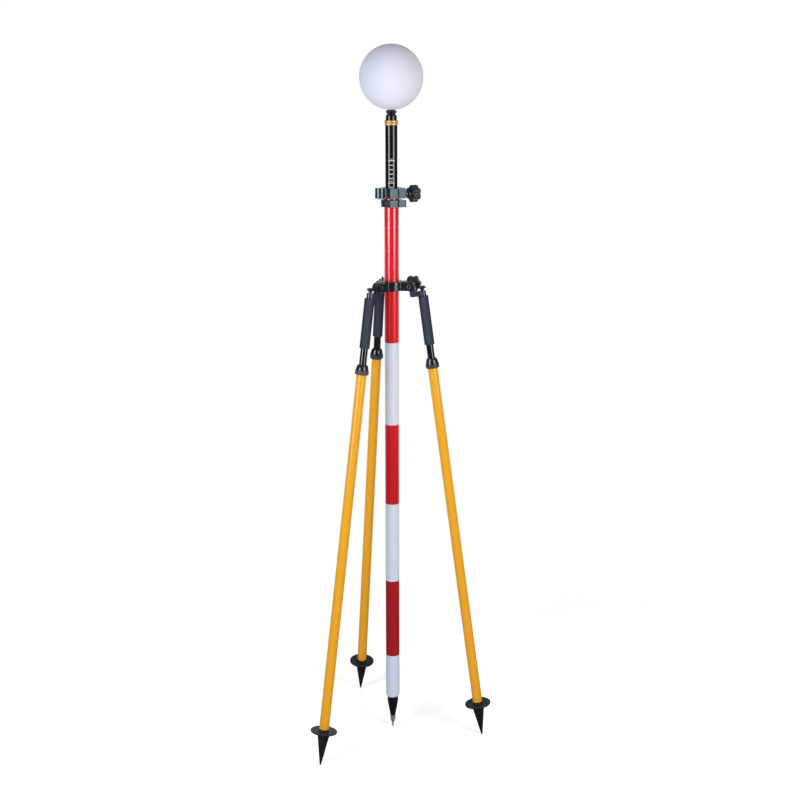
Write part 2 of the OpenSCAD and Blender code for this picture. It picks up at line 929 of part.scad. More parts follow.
module grip(k) {
    round_r = 2;
    color("darkslategray")
        leg_axis(k)
            translate([0, 0, -hinge_drop - grip_len])
                rotate_extrude()
                    difference() {
                        union() {
                            translate([0, round_r])
                                square([grip_d / 2, grip_len - 2 * round_r]);
                            square([grip_d / 2 - round_r, grip_len]);
                            for (y = [round_r, grip_len - round_r])
                                translate([grip_d / 2 - round_r, y])
                                    circle(r = round_r);
                        }
                        translate([-grip_d, -eps])
                            square([grip_d + upper_leg_r, grip_len + 2 * eps]);
                    }
}

module thumb_button(k) {
    button_r = button_d / 2;
    dome_r = (pow(button_r, 2) + pow(button_dome, 2)) / (2 * button_dome);
    color("black")
        leg_axis(k)
            difference() {
                union() {
                    intersection() {
                        translate([0, 0, -button_drop - dome_r])
                            sphere(r = dome_r);
                        translate([0, 0, button_rim_z])
                            cylinder(r = button_r, h = button_d);
                    }
                    translate([0, 0, button_rim_z - rim_h])
                        cylinder(r = button_r, h = rim_h);
                    translate([0, 0, stem_top])
                        cylinder(r1 = stem_d / 2, r2 = button_r - rim_h, h = button_cone_h);
                    translate([0, 0, stem_end])
                        cylinder(d = stem_d, h = stem_top - stem_end + eps);
                }
                translate([0, 0, stem_end - eps])
                    cylinder(d = rod_d, h = rod_top - stem_end + eps);
            }
}

// The rod hangs from the button, carries the spring's flange and ends in the brake's cone
module release_rod(k) {
    rod_r = rod_d / 2;
    cone_r = brake_r - brake_clear;
    color("silver")
        leg_axis(k)
            rotate_extrude()
                polygon([[0, rod_top], [rod_r, rod_top], [rod_r, flange_top], [upper_bore_r - 1, flange_top],
                         [upper_bore_r - 1, flange_top - flange_t], [rod_r, flange_top - flange_t],
                         [rod_r, collet_z + brake_h], [cone_r, collet_z], [cone_r, collet_z - cone_end],
                         [0, collet_z - cone_end]]);
}

// One unbroken coil: rings of a few sides, swept up a helix
module button_spring(k) {
    sides = 6;
    rings_per_turn = 10;
    rings = spring_turns * rings_per_turn;
    wire_r = spring_wire / 2;
    rise = spring_len - spring_wire;
    spring_z = spring_top - spring_len + wire_r;
    slope = atan(rise / (spring_turns * 360 * PI / 180 * spring_r));
    points = [for (i = [0:rings], j = [0:sides - 1])
        let (turn = i * 360 / rings_per_turn, side = j * 360 / sides,
             out = spring_r + wire_r * cos(side), lift = wire_r * sin(side))
        [out * cos(turn) + lift * sin(slope) * sin(turn),
         out * sin(turn) - lift * sin(slope) * cos(turn),
         spring_z + rise * i / rings + lift * cos(slope)]];
    walls = [for (i = [0:rings - 1], j = [0:sides - 1])
        let (a = i * sides + j, b = i * sides + (j + 1) % sides)
        each [[a, a + sides, b], [b, a + sides, b + sides]]];
    ends = [for (j = [1:sides - 2])
        each [[0, j, j + 1], [rings * sides, rings * sides + j + 1, rings * sides + j]]];
    echo(spring_gap = rise / spring_turns * cos(slope) - spring_wire);
    color("silver")
        leg_axis(k)
            polyhedron(points = points, faces = concat(walls, ends));
}

// A split collet: the rod's cone spreads its four fingers against the lower leg's bore
module brake_collet(k) {
    color("peru")
        leg_axis(k)
            difference() {
                union() {
                    translate([0, 0, collet_z])
                        cylinder(r = lower_bore_r - side_fit, h = collet_len);
                    translate([0, 0, upper_leg_z - eps])
                        cylinder(r = upper_bore_r, h = collet_spigot + eps);
                }
                translate([0, 0, collet_z - eps])
                    cylinder(r = rod_d / 2 + run_fit, h = collet_len + collet_spigot + 2 * eps);
                translate([0, 0, collet_z])
                    cylinder(r1 = brake_r, r2 = rod_d / 2 + run_fit, h = brake_h);
                for (i = [0:collet_slots / 2 - 1])
                    rotate([0, 0, i * 180 / (collet_slots / 2)])
                        translate([-lower_bore_r - eps, -collet_slot_w / 2, collet_z - eps])
                            cube([2 * lower_bore_r + 2 * eps, collet_slot_w, collet_len * 0.75]);
            }
}

// Bell-shaped cap: a shoulder that swells down to a straight band, which stands a little proud of it
module slide_cap(k) {
    cap_r = cap_d / 2;
    bell_r = cap_r - cap_step;
    crown_r = upper_leg_r + cap_lip;
    swell = cap_h - cap_band;
    swell_r = (pow(swell, 2) + pow(bell_r - crown_r, 2)) / (2 * (bell_r - crown_r));
    color("black")
        leg_axis(k)
            translate([0, 0, lower_leg_top(k) + cap_crown - cap_h])
                rotate_extrude()
                    difference() {
                        union() {
                            square([cap_r, cap_band]);
                            intersection() {
                                translate([bell_r - swell_r, cap_band])
                                    circle(r = swell_r);
                                square([cap_r, cap_h]);
                            }
                        }
                        translate([-cap_d, -eps])
                            square([cap_d + upper_leg_r + run_fit, cap_h + 2 * eps]);
                        translate([-cap_d, -eps])
                            square([cap_d + lower_leg_r, cap_h - cap_crown + eps]);
                    }
}

module lower_leg(k) {
    color("orange")
        leg_axis(k)
            pipe(lower_leg_r, lower_bore_r, lower_leg_z(k), lower_leg_top(k));
}

module foot_plate(k) {
    color("black")
        leg_axis(k)
            difference() {
                rotate_extrude()
                    polygon([[0, spike_top(k)], [plate_d / 2, spike_top(k)], [plate_d / 2, plate_top(k)],
                             [neck_d / 2, plate_top(k)], [neck_d / 2, lower_leg_z(k)],
                             [lower_bore_r, lower_leg_z(k)], [lower_bore_r, lower_leg_z(k) + plate_spigot],
                             [0, lower_leg_z(k) + plate_spigot]]);
                translate([0, 0, spike_top(k) - eps])
                    cylinder(d = stud_foot_d, h = stud_foot_len + eps);
            }
}

module foot_spike(k) {
    color("black")
        leg_axis(k) {
            translate([0, 0, -foot_reach(k)])
                cylinder(r1 = spike_tip_r, d2 = spike_d, h = spike_len - spike_tip_r);
            translate([0, 0, -foot_reach(k)])
                sphere(r = spike_tip_r);
            translate([0, 0, spike_top(k) - eps])
                cylinder(d = stud_foot_d, h = stud_foot_len + eps);
        }
}

pole_tube();
point_holder();
pole_point();
guide_bush();
clamp_collar();
lower_collar();
collar_screw();
level_cup();
level_vial();
level_screws();
clamp_knob();
clamp_stud();
inner_tube();
inner_bush();
lock_ring();
sphere_adapter();
target_sphere();
sphere_insert();
head_clamp();
stud_nut();
pivot_screws();
hinge_set_screw();
head_knob();
head_stud();
for (k = [0:2]) {
    leg_hinge(k);
    upper_leg(k);
    grip(k);
    thumb_button(k);
    release_rod(k);
    button_spring(k);
    brake_collet(k);
    slide_cap(k);
    lower_leg(k);
    foot_plate(k);
    foot_spike(k);
}
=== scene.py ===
# %% [markdown]
# A target sphere on a survey pole.
# A matt white sphere stands on a red and white telescoping pole, and a tripod with thumb releases holds the
# pole upright. This lesson dresses a finished CAD model. The model comes in as a fixed frame that already
# moves at its joints. Most pieces are then built again over their CAD solids, because a CAD edge has no
# radius, and it is the small radius on an edge that catches the light and makes a thing look made.

# %% Load the CAD frame
import json
import math

import bmesh
import bpy
from mathutils import Matrix, Vector


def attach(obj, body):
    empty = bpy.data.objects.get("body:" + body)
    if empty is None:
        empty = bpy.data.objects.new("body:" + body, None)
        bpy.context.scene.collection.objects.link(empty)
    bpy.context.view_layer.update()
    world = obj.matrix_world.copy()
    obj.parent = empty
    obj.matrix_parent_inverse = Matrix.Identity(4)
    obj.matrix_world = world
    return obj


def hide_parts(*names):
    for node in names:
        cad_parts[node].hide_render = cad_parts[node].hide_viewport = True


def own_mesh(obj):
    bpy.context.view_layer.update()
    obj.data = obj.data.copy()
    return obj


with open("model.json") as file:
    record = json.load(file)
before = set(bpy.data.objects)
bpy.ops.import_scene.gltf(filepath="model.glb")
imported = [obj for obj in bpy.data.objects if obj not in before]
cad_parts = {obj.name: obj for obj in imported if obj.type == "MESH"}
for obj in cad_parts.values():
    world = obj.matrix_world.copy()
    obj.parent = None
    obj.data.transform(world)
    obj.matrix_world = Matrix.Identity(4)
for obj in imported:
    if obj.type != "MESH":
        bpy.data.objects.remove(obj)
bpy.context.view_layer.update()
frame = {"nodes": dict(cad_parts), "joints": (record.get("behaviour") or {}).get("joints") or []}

# %% [markdown]
# Blender works in metres, and the sizes of this object read better in millimetres, so one factor turns one
# into the other. A piece could be placed with typed numbers, but then a change to the CAD would leave it
# behind. Here each piece is measured on its CAD solid, in the axes of what it belongs to: the pole stands on
# the world's Z axis, and each leg has a leaning axis of its own, which the joints of the record give.

# %% Measure the frame
MM = 0.001
LEGS = ("right", "rear", "left")
POLE = Matrix.Identity(4)
CLOSE = 0.05
ON_AXIS = 0.1
joints = {joint["name"]: joint for joint in frame["joints"]}


def axes(origin, z_axis, x_axis):
    """A placing matrix with the given origin, +Z and, as near as can be, +X."""
    z = Vector(z_axis).normalized()
    x = Vector(x_axis)
    x = (x - z * x.dot(z)).normalized()
    turn = Matrix((x, z.cross(x), z)).transposed()
    return Matrix.Translation(Vector(origin)) @ turn.to_4x4()


def points_of(node, place):
    """The vertices of a CAD node in millimetres, in the axes of place."""
    back = place.inverted()
    return [(back @ vertex.co) / MM for vertex in frame["nodes"][node].data.vertices]


def measured(node, place=POLE):
    """Lowest and highest corner of a CAD node in millimetres, in the axes of place."""
    points = points_of(node, place)
    return [Vector([pick(point[i] for point in points) for i in range(3)]) for pick in (min, max)]


def leg_axis(leg):
    """The axis of a leg's tubes: its origin lies level with the pivot, and +Z runs up the leg."""
    pivot = joints[f"leg_{leg}_swing"]["pos_m"]
    down = Vector(joints[f"leg_{leg}_extension"]["axis"])
    at_pivot = axes(pivot, -down, (pivot[0], pivot[1], 0))
    low, high = measured(f"lower_leg_{leg}", at_pivot)
    return at_pivot @ Matrix.Translation(((low.x + high.x) / 2 * MM, 0, 0))


def corners(node, place=POLE):
    """The (radius, height) corners of a turned CAD solid in millimetres, from the bottom up."""
    points = points_of(node, place)
    pairs = {(round(math.hypot(point.x, point.y), 2), round(point.z, 2)) for point in points}
    return sorted(pairs, key=lambda pair: (pair[1], pair[0]))


def radii_at(node, height, place=POLE):
    """The smallest and the largest corner radius of a CAD solid at a height."""
    found = [r for r, z in corners(node, place) if abs(z - height) < CLOSE and r > ON_AXIS]
    return min(found), max(found)


def heights_of(node, radius, place=POLE):
    """The lowest and the highest corner of a CAD solid that has a radius."""
    found = [z for r, z in corners(node, place) if abs(r - radius) < CLOSE]
    return min(found), max(found)


leg_places = {leg: leg_axis(leg) for leg in LEGS}
for leg in LEGS:
    low, high = measured(f"lower_leg_{leg}", leg_places[leg])
    print(f"{leg} lower leg: {high.x - low.x:.1f} mm across, {high.z - low.z:.1f} mm long")

# %% [markdown]
# The camera stands where the photographer stood. Its place, its lens and its tilt were worked out from
# straight things of known size: the 200 mm bands on the pole, the three legs and the width of the sphere. The
# lens is in millimetres on Blender's 36 mm sensor, so a focal length in pixels is scaled by 36 over the
# picture's width.

# %% Place the camera
PICTURE = 800
SENSOR = 36.0
FOCAL_PIXELS = 1278.53
CAMERA_AT = (0, -2.9692, 1.6047)
TILT = 0.246204
YAW = math.radians(0.368)
ROLL = math.radians(0.068)
FARTHEST = 60


def placed(name, data):
    """A new object in the scene."""
    made = bpy.data.objects.new(name, data)
    bpy.context.scene.collection.objects.link(made)
    return made


forward = Vector((math.sin(YAW) * math.cos(TILT), math.cos(YAW) * math.cos(TILT), -math.sin(TILT)))
level = Vector((math.cos(YAW), -math.sin(YAW), 0))
below = forward.cross(level)
right = level * math.cos(ROLL) + below * math.sin(ROLL)
down = below * math.cos(ROLL) - level * math.sin(ROLL)
lens = bpy.data.cameras.new("photo_camera")
lens.sensor_width = SENSOR
lens.lens = FOCAL_PIXELS * SENSOR / PICTURE
lens.clip_end = FARTHEST
camera = placed("photo_camera", lens)
facing = Matrix((right, -down, -forward)).transposed().to_4x4()
camera.matrix_world = Matrix.Translation(CAMERA_AT) @ facing
bpy.context.scene.camera = camera
print(f"Camera with a {lens.lens:.1f} mm lens")

# %% [markdown]
# Light, floor, finishes and repeated marks are all made with nodes. A node could be made, set and linked on
# lines of its own, but a tree of twenty nodes would then fill a page. So one helper makes a node and joins
# its inputs: a socket, or a node for its first output, becomes a link, and anything else a value. The others
# are the nodes that come up again and again: a sum, a vector, a soft step and a mix of two shaders.

# %% Helpers for nodes
def wire(tree, kind, joined=None, **settings):
    """A new node with its properties set, and its inputs linked to a socket or node or given a value."""
    node = tree.nodes.new(kind)
    for key, value in settings.items():
        setattr(node, key, value)
    for key, value in (joined or {}).items():
        value = value.outputs[0] if isinstance(value, bpy.types.Node) else value
        if isinstance(value, bpy.types.NodeSocket):
            tree.links.new(value, node.inputs[key])
        else:
            node.inputs[key].default_value = value
    return node


def maths(tree, operation, *values):
    """The result of a Math node with one or two sockets or numbers."""
    return wire(tree, "ShaderNodeMath", dict(enumerate(values)), operation=operation).outputs[0]


def combine(tree, *values):
    """A vector from three sockets or numbers."""
    return wire(tree, "ShaderNodeCombineXYZ", dict(enumerate(values))).outputs[0]


def parts(tree, vector):
    """The X, Y and Z of a vector, as sockets."""
    return wire(tree, "ShaderNodeSeparateXYZ", {0: vector}).outputs


def stepped(tree, source, start, end, low=0.0, high=1.0, **settings):
    """A value that goes from low where the source is start to high where it is end."""
    limits = {"Value": source, "From Min": start, "From Max": end, "To Min": low, "To Max": high}
    return wire(tree, "ShaderNodeMapRange", limits, **settings).outputs["Result"]


def ramp_between(*step):
    """The same with a soft start and a soft end."""
    return stepped(*step, interpolation_type="SMOOTHSTEP")


def mixed(tree, share, first, second):
    """A mix of two shader nodes."""
    return wire(tree, "ShaderNodeMixShader", {"Fac": share, 1: first, 2: second})


print("Helpers: wire, maths, combine, parts, stepped, ramp_between, mixed")

# %% [markdown]
# Two softboxes stand left and right of the camera. A round tube acts as a bent mirror and shrinks each box to
# one bright line, so the lines on the tubes tell where the boxes stood: about 45 degrees to each side, with
# their lower edges well off the floor. The left one is bluish. A third, weak box stands behind for the views
# of the back, and mirrors don't see it.

# %% Light the studio
LEFT_POWER = 42
RIGHT_POWER = 34
BACK_POWER = 14
LEFT_TINT = (0.80, 0.86, 1.0)
BOX_HEIGHT = 1.42
AIM = (0, 0, 1.15)


def softbox(name, azimuth, distance, size, power, tint=(1, 1, 1)):
    """A soft rectangular lamp, at an azimuth counted from the camera's side of the pole."""
    lamp = bpy.data.lights.new(name, "AREA")
    lamp.shape = "RECTANGLE"
    lamp.size, lamp.size_y = size
    lamp.energy = power
    lamp.color = tint
    turn = math.radians(azimuth)
    where = Vector((math.sin(turn) * distance, -math.cos(turn) * distance, BOX_HEIGHT))
    away = where - Vector(AIM)
    holder = placed(name, lamp)
    holder.matrix_world = axes(where, away, (0, 0, 1)) @ Matrix.Rotation(math.radians(90), 4, "Z")
    holder.visible_camera = False
    return holder


softbox("softbox_left", -45, 2.3, (1.02, 1.50), LEFT_POWER, LEFT_TINT)
softbox("softbox_right", 46, 2.3, (1.04, 1.56), RIGHT_POWER)
softbox("softbox_back", 190, 2.6, (1.40, 1.60), BACK_POWER).visible_glossy = False
print("Softboxes of", LEFT_POWER, RIGHT_POWER, "and", BACK_POWER, "watts")

# %% [markdown]
# Between the bright lines the black tubes are really black, so the room is dark all round, and only its
# ceiling is pale and gives a weak fill from above. The white behind the object is for the eye of the camera,
# and for mirrors that look back at it, and it doesn't light the object. The view transform is Standard, so
# white stays white.

# %% The room
ROOM = 0.055
CEILING = 0.38
CEILING_TINT = (0.94, 0.97, 1.0, 1)
WHITE = (1, 1, 1, 1)
BACK_WALL = (0.80, 0.90)
LOW_DOWN = (0.15, 0.30)
OVERHEAD = (0.15, 0.60)


def sees_paper(tree, on_paper):
    """1 for camera rays, and for mirror and glass rays where on_paper, a socket, is 1."""
    path = wire(tree, "ShaderNodeLightPath").outputs
    mirrored = maths(tree, "MAXIMUM", path["Is Glossy Ray"], path["Is Transmission Ray"])
    return maths(tree, "MAXIMUM", path["Is Camera Ray"], maths(tree, "MULTIPLY", mirrored, on_paper))


world = bpy.data.worlds.new("studio")
bpy.context.scene.world = world
world.use_nodes = True
sky = world.node_tree
sky.nodes.clear()
toward = parts(sky, wire(sky, "ShaderNodeTexCoord").outputs["Generated"])
back_wall = ramp_between(sky, toward["Y"], *BACK_WALL)
low_down = ramp_between(sky, toward["Z"], *LOW_DOWN, 1.0, 0.0)
behind = maths(sky, "MULTIPLY", back_wall, low_down)
overhead = ramp_between(sky, toward["Z"], *OVERHEAD, ROOM, CEILING)
fill_light = wire(sky, "ShaderNodeBackground", {"Color": CEILING_TINT, "Strength": overhead})
paper_light = wire(sky, "ShaderNodeBackground", {"Color": WHITE, "Strength": 1.0})
studio = mixed(sky, sees_paper(sky, behind), fill_light, paper_light)
wire(sky, "ShaderNodeOutputWorld", {"Surface": studio})

bpy.context.scene.view_settings.view_transform = "Standard"
print("A dark room with a pale ceiling and white behind the object")

# %% [markdown]
# The floor is a sheet of white paper. It could be plain white, but under these lamps it would come out grey,
# so for the camera it is paler and glows a little as well: where the lamps reach it the sum is white, and in
# the object's shadow less is left, so the soft shadow stays. Far from the object the paper fades into even
# white. The low pieces are deep black in the photo, so mirrors that look down see a dark floor. The glow is
# for the camera alone, so Cycles needn't aim any light rays at it, and that leaves more of them for the
# softboxes.

# %% Lay the floor
FLOOR_HALF = 9.0
FLOOR_DROP = 0.0004
FLOOR_GLOW = 0.375
GREYS = (0.84, 0.95, 0.14)
FADE = (0.60, 1.30)
SWEEP = (0.4, 1.2)

paper = bpy.data.materials.new("paper_floor")
paper.use_nodes = True
paper.cycles.emission_sampling = "NONE"
sheet = paper.node_tree
sheet.nodes.clear()
spot = wire(sheet, "ShaderNodeTexCoord").outputs["Object"]
reach = wire(sheet, "ShaderNodeVectorMath", {0: spot}, operation="LENGTH").outputs["Value"]
far_off = ramp_between(sheet, reach, *FADE)
sweep = ramp_between(sheet, parts(sheet, spot)["Y"], *SWEEP)
matt, pale, dark = (wire(sheet, "ShaderNodeBsdfDiffuse", {"Color": (grey, grey, grey, 1)}) for grey in GREYS)
glow, white = (wire(sheet, "ShaderNodeEmission", {"Strength": power}) for power in (FLOOR_GLOW, 1.0))
lit = wire(sheet, "ShaderNodeAddShader", {0: pale, 1: glow})
around = mixed(sheet, wire(sheet, "ShaderNodeLightPath").outputs["Is Glossy Ray"], matt, dark)
shown = mixed(sheet, far_off, lit, white)
laid = mixed(sheet, sees_paper(sheet, sweep), around, shown)
wire(sheet, "ShaderNodeOutputMaterial", {"Surface": laid})

floor_mesh = bpy.data.meshes.new("floor")
square = [(x * FLOOR_HALF, y * FLOOR_HALF, -FLOOR_DROP) for x, y in ((-1, -1), (1, -1), (1, 1), (-1, 1))]
floor_mesh.from_pydata(square, [], [(0, 1, 2, 3)])
floor_mesh.materials.append(paper)
floor = placed("floor", floor_mesh)
print("Floor", 2 * FLOOR_HALF, "m wide")

# %% [markdown]
# A finish is more than a colour. Anodised metal has a fine grain, foam has cells, and a lathe leaves rings.
# Each finish below is one Principled shader. Noise in Object coordinates moves its colour and its roughness a
# little and feeds a Bump node, and since every piece sits at the origin in real size, a noise scale is simply
# how many grains fit in a metre. What is the same all over goes straight on the shader's sockets.

# %% Helpers for finishes
SHADER = "Principled BSDF"


def finish(name, colour, roughness, metallic=0.0, **sockets):
    """A material with one Principled shader, whose even values sit on its own sockets."""
    material = bpy.data.materials.new(name)
    material.use_nodes = True
    sockets.update(Base_Color=(*colour, 1), Roughness=roughness, Metallic=metallic)
    for socket, value in sockets.items():
        material.node_tree.nodes[SHADER].inputs[socket.replace("_", " ")].default_value = value
    material.diffuse_color = (*colour, 1)
    return material


def noise(material, grains, detail=3.0, stretch=(1, 1, 1)):
    """A noise texture in Object coordinates with so many grains in a metre."""
    tree = material.node_tree
    place = wire(tree, "ShaderNodeTexCoord").outputs["Object"]
    mapped = wire(tree, "ShaderNodeMapping", {"Vector": place, "Scale": stretch})
    grain = {"Vector": mapped, "Scale": grains, "Detail": detail}
    return wire(tree, "ShaderNodeTexNoise", grain).outputs["Fac"]


def vary(material, socket, source, low, high, start=0.3, end=0.7):
    """Moves a shader's socket between two numbers or two colours with a noise or a step."""
    tree = material.node_tree
    if isinstance(low, tuple):
        ends = {0: source, 6: (*low, 1), 7: (*high, 1)}
        result = wire(tree, "ShaderNodeMix", ends, data_type="RGBA").outputs[2]
    else:
        result = stepped(tree, source, start, end, low, high)
    tree.links.new(result, tree.nodes[SHADER].inputs[socket])


def up_to(material, low, high):
    """0 below a height and 1 above another, in metres, with a soft step between."""
    tree = material.node_tree
    return ramp_between(tree, parts(tree, wire(tree, "ShaderNodeTexCoord").outputs["Object"])["Z"], low, high)


def painted_rim_shade(material, source):
    """A noise that fades where the surface turns away from the camera, which paints shade on the rims."""
    tree = material.node_tree
    facing = wire(tree, "ShaderNodeLayerWeight").outputs["Facing"]
    return maths(tree, "MULTIPLY", source, maths(tree, "SUBTRACT", 1.0, facing))


def emboss(material, source, depth, strength):
    """A bump of so many millimetres from a noise."""
    tree = material.node_tree
    bump = wire(tree, "ShaderNodeBump", {"Height": source, "Strength": strength, "Distance": depth * MM})
    tree.links.new(bump.outputs["Normal"], tree.nodes[SHADER].inputs["Normal"])


def grained(name, colour, roughness, metallic=0.0, tone=None, polish=None, bump=None, **sockets):
    """A finish with noises. Tone and polish are a noise and two limits, bump a noise, depth and strength."""
    material = finish(name, colour, roughness, metallic, **sockets)
    for socket, rule in (("Base Color", tone), ("Roughness", polish)):
        if rule:
            vary(material, socket, noise(material, *rule[0]), *rule[1:])
    if bump:
        emboss(material, noise(material, *bump[0]), *bump[1:])
    return material


print("Helpers: finish, noise, vary, up_to, painted_rim_shade, emboss, grained")

# %% [markdown]
# The pole's paints are glossy under a clear coat, which doubles the bright lines of the softboxes without
# making the red any paler. They have no bump: on a thin pole even a faint one would break the ruled lines
# into beads. Lower down every paint is darker, which is painted shade for the light that falls off towards
# the floor, and it reflects less there, a soft step along the height. The yellow is a satin powder.

# %% Paints
# Heights in metres over which the painted shade near the floor fades out
LOW_SHADE = (0.25, 1.00)
COAT = (1.10, 1.32)
SHINE = (0.45, 0.95)
UNEVEN = 0.01


def paint(name, shaded_colour, upper_colour, gloss, coat):
    """Gloss paint on a drawn tube, darker near the ground as painted shade, and less shiny there."""
    material = finish(name, upper_colour, gloss, IOR=1.45, Coat_Roughness=0.10, Coat_IOR=1.6)
    # Painted shade: the base colour darkens towards the floor, where less light falls
    vary(material, "Base Color", up_to(material, *LOW_SHADE), shaded_colour, upper_colour)
    vary(material, "Coat Weight", up_to(material, *COAT), 0.0, coat, 0, 1)
    vary(material, "Specular IOR Level", up_to(material, *SHINE), 0.20, 0.50, 0, 1)
    vary(material, "Roughness", noise(material, 9, 0.0), gloss - UNEVEN, gloss + UNEVEN)
    return material


red_paint = paint("red_paint", (0.36, 0.009, 0.014), (0.70, 0.008, 0.015), 0.26, 1.0)
white_paint = paint("white_paint", (0.61, 0.67, 0.755), (0.69, 0.73, 0.79), 0.34, 1.0)
yellow_paint = paint("yellow_paint", (0.78, 0.350, 0.019), (0.83, 0.388, 0.019), 0.24, 0.0)
print("Paints:", red_paint.name, white_paint.name, yellow_paint.name)

# %% [markdown]
# The black metal is anodised. On the tubes it is smooth and mirrors the softboxes as clear lines. The milled
# collars have a fine blasted grain and turn the light into a blue-grey sheen. The tripod's head is glossy
# black. The hinges of the legs are the same black anodising, and their dark navy base colour is painted sheen
# for the blue-grey light that their flat faces reflect.

# %% Anodised metal
LATHE = (0.1, 0.1, 1)

tube_black = grained("tube_black", (0.004, 0.004, 0.005), 0.16, IOR=1.56,
                     tone=((20, 0.0), (0.003, 0.003, 0.004), (0.005, 0.005, 0.006)),
                     polish=((20, 0.0, (1, 1, 0.15)), 0.15, 0.17))
blasted_black = grained("blasted_black", (0.006, 0.007, 0.009), 0.27, IOR=2.0,
                        Specular_Tint=(0.72, 0.92, 1.0, 1),
                        tone=((900, 4.0), (0.004, 0.005, 0.006), (0.010, 0.011, 0.014)),
                        polish=((900,), 0.25, 0.30), bump=((2600,), 0.003, 0.3))
# Painted sheen: a navy base colour for the blue-grey reflection on the hinges' flat faces
painted_sheen_navy = grained("painted_sheen_navy", (0.022, 0.027, 0.046), 0.25, IOR=1.6,
                    tone=((500, 4.0), (0.018, 0.022, 0.038), (0.027, 0.033, 0.055)),
                    polish=((400,), 0.20, 0.30), bump=((1800,), 0.004, 0.3))
head_black = grained("head_black", (0.005, 0.006, 0.009), 0.30, IOR=1.7, Specular_Tint=(0.85, 0.95, 1.0, 1),
                     tone=((300,), (0.004, 0.005, 0.007), (0.007, 0.008, 0.012)),
                     polish=((200, 2.0), 0.18, 0.25), bump=((700, 2.0), 0.001, 0.2))
gold_ring = grained("gold_ring", (0.68, 0.46, 0.15), 0.55, 1.0,
                    tone=((160,), (0.63, 0.42, 0.13), (0.73, 0.50, 0.17)),
                    polish=((300,), 0.48, 0.62), bump=((2200, 2.0, LATHE), 0.008, 0.4))
print("Anodised:", tube_black.name, blasted_black.name, head_black.name, painted_sheen_navy.name, gold_ring.name)

# %% [markdown]
# Bare steel is on the point, the studs and the screws. A lathe leaves rings across the axis, which is a noise
# squeezed in one direction. The tip of the point is hardened and dark. The spikes and the step plates are
# coated black, the plates a little smoother and bluer.

# %% Steel and coating
FINE_LATHE = (0.08, 0.08, 1)

turned_steel = grained("turned_steel", (0.34, 0.32, 0.25), 0.38, 0.5,
                       tone=((240,), (0.28, 0.26, 0.20), (0.41, 0.39, 0.31)),
                       polish=((700, 3.0, LATHE), 0.26, 0.44), bump=((3000, 2.0, FINE_LATHE), 0.012, 0.6))
tip_steel = grained("tip_steel", (0.03, 0.028, 0.024), 0.42, IOR=1.35,
                    tone=((300,), (0.02, 0.019, 0.016), (0.04, 0.037, 0.032)),
                    bump=((3000, 2.0, FINE_LATHE), 0.010, 0.5))
bright_steel = grained("bright_steel", (0.62, 0.61, 0.60), 0.24, 1.0,
                       polish=((900,), 0.18, 0.32), bump=((2600,), 0.006, 0.4))
dull_steel = grained("dull_steel", (0.12, 0.12, 0.13), 0.45, 1.0,
                     polish=((700,), 0.38, 0.52), bump=((2600,), 0.006, 0.4))
coated_steel = grained("coated_steel", (0.006, 0.007, 0.009), 0.36, IOR=1.35,
                       tone=((320, 5.0), (0.004, 0.005, 0.006), (0.012, 0.013, 0.016)),
                       polish=((140, 4.0), 0.30, 0.44), bump=((900,), 0.012, 0.4))
plate_coat = grained("plate_coat", (0.008, 0.010, 0.014), 0.24, IOR=1.35,
                     tone=((120, 4.0), (0.006, 0.008, 0.011), (0.011, 0.013, 0.018)),
                     polish=((160,), 0.20, 0.30), bump=((500, 2.0), 0.003, 0.3))
print("Steel:", turned_steel.name, bright_steel.name, coated_steel.name, plate_coat.name)

# %% [markdown]
# Moulded plastic is glossy on the caps and buttons and has a faint mould grain on the knobs. The grips are
# closed-cell foam: matt, slate grey, with cells of about a millimetre, and with painted shade that darkens
# them where they turn away from the eye. The sphere has a matt white coat that spreads light evenly, because
# a scanner has to see it the same from every side.

# %% Plastics, foam and coat
moulded_black = grained("moulded_black", (0.005, 0.006, 0.008), 0.14, IOR=1.6,
                        polish=((120,), 0.12, 0.17), bump=((300, 2.0), 0.001, 0.2))
grip_grey = grained("grip_grey", (0.035, 0.039, 0.050), 0.42, IOR=1.5,
                    tone=((900,), (0.022, 0.025, 0.032), (0.055, 0.060, 0.075)),
                    polish=((420,), 0.36, 0.48), bump=((1500,), 0.010, 0.4))
knob_grey = grained("knob_grey", (0.020, 0.022, 0.029), 0.34, IOR=1.5,
                    tone=((300,), (0.017, 0.019, 0.025), (0.024, 0.026, 0.034)),
                    polish=((420,), 0.30, 0.40), bump=((2400,), 0.002, 0.3))
grip_foam = grained("grip_foam", (0.040, 0.047, 0.064), 0.86, Specular_IOR_Level=0.15,
                    bump=((1300, 4.0), 0.10, 0.7))
# Cell noise, with painted shade: the foam's colour darkens towards its rims, where it turns away from the
# camera
vary(grip_foam, "Base Color", painted_rim_shade(grip_foam, noise(grip_foam, 700, 2.0)),
     (0.003, 0.003, 0.005), (0.088, 0.101, 0.135))
sphere_coat = grained("sphere_coat", (0.73, 0.73, 0.775), 0.80, Specular_IOR_Level=0.3,
                      tone=((25, 4.0), (0.715, 0.717, 0.763), (0.745, 0.743, 0.787)),
                      polish=((300,), 0.74, 0.86), bump=((1500,), 0.015, 0.5))
print("Plastics, foam and coat:", moulded_black.name, knob_grey.name, grip_foam.name, sphere_coat.name)

# %% [markdown]
# The small and hidden pieces have finishes as well: pale and brown plastics for bushes and brakes, plain
# metal for the rods, brass for the level's cup, the ink of the scale, and the green fluid with its bubble,
# both under a clear coat.

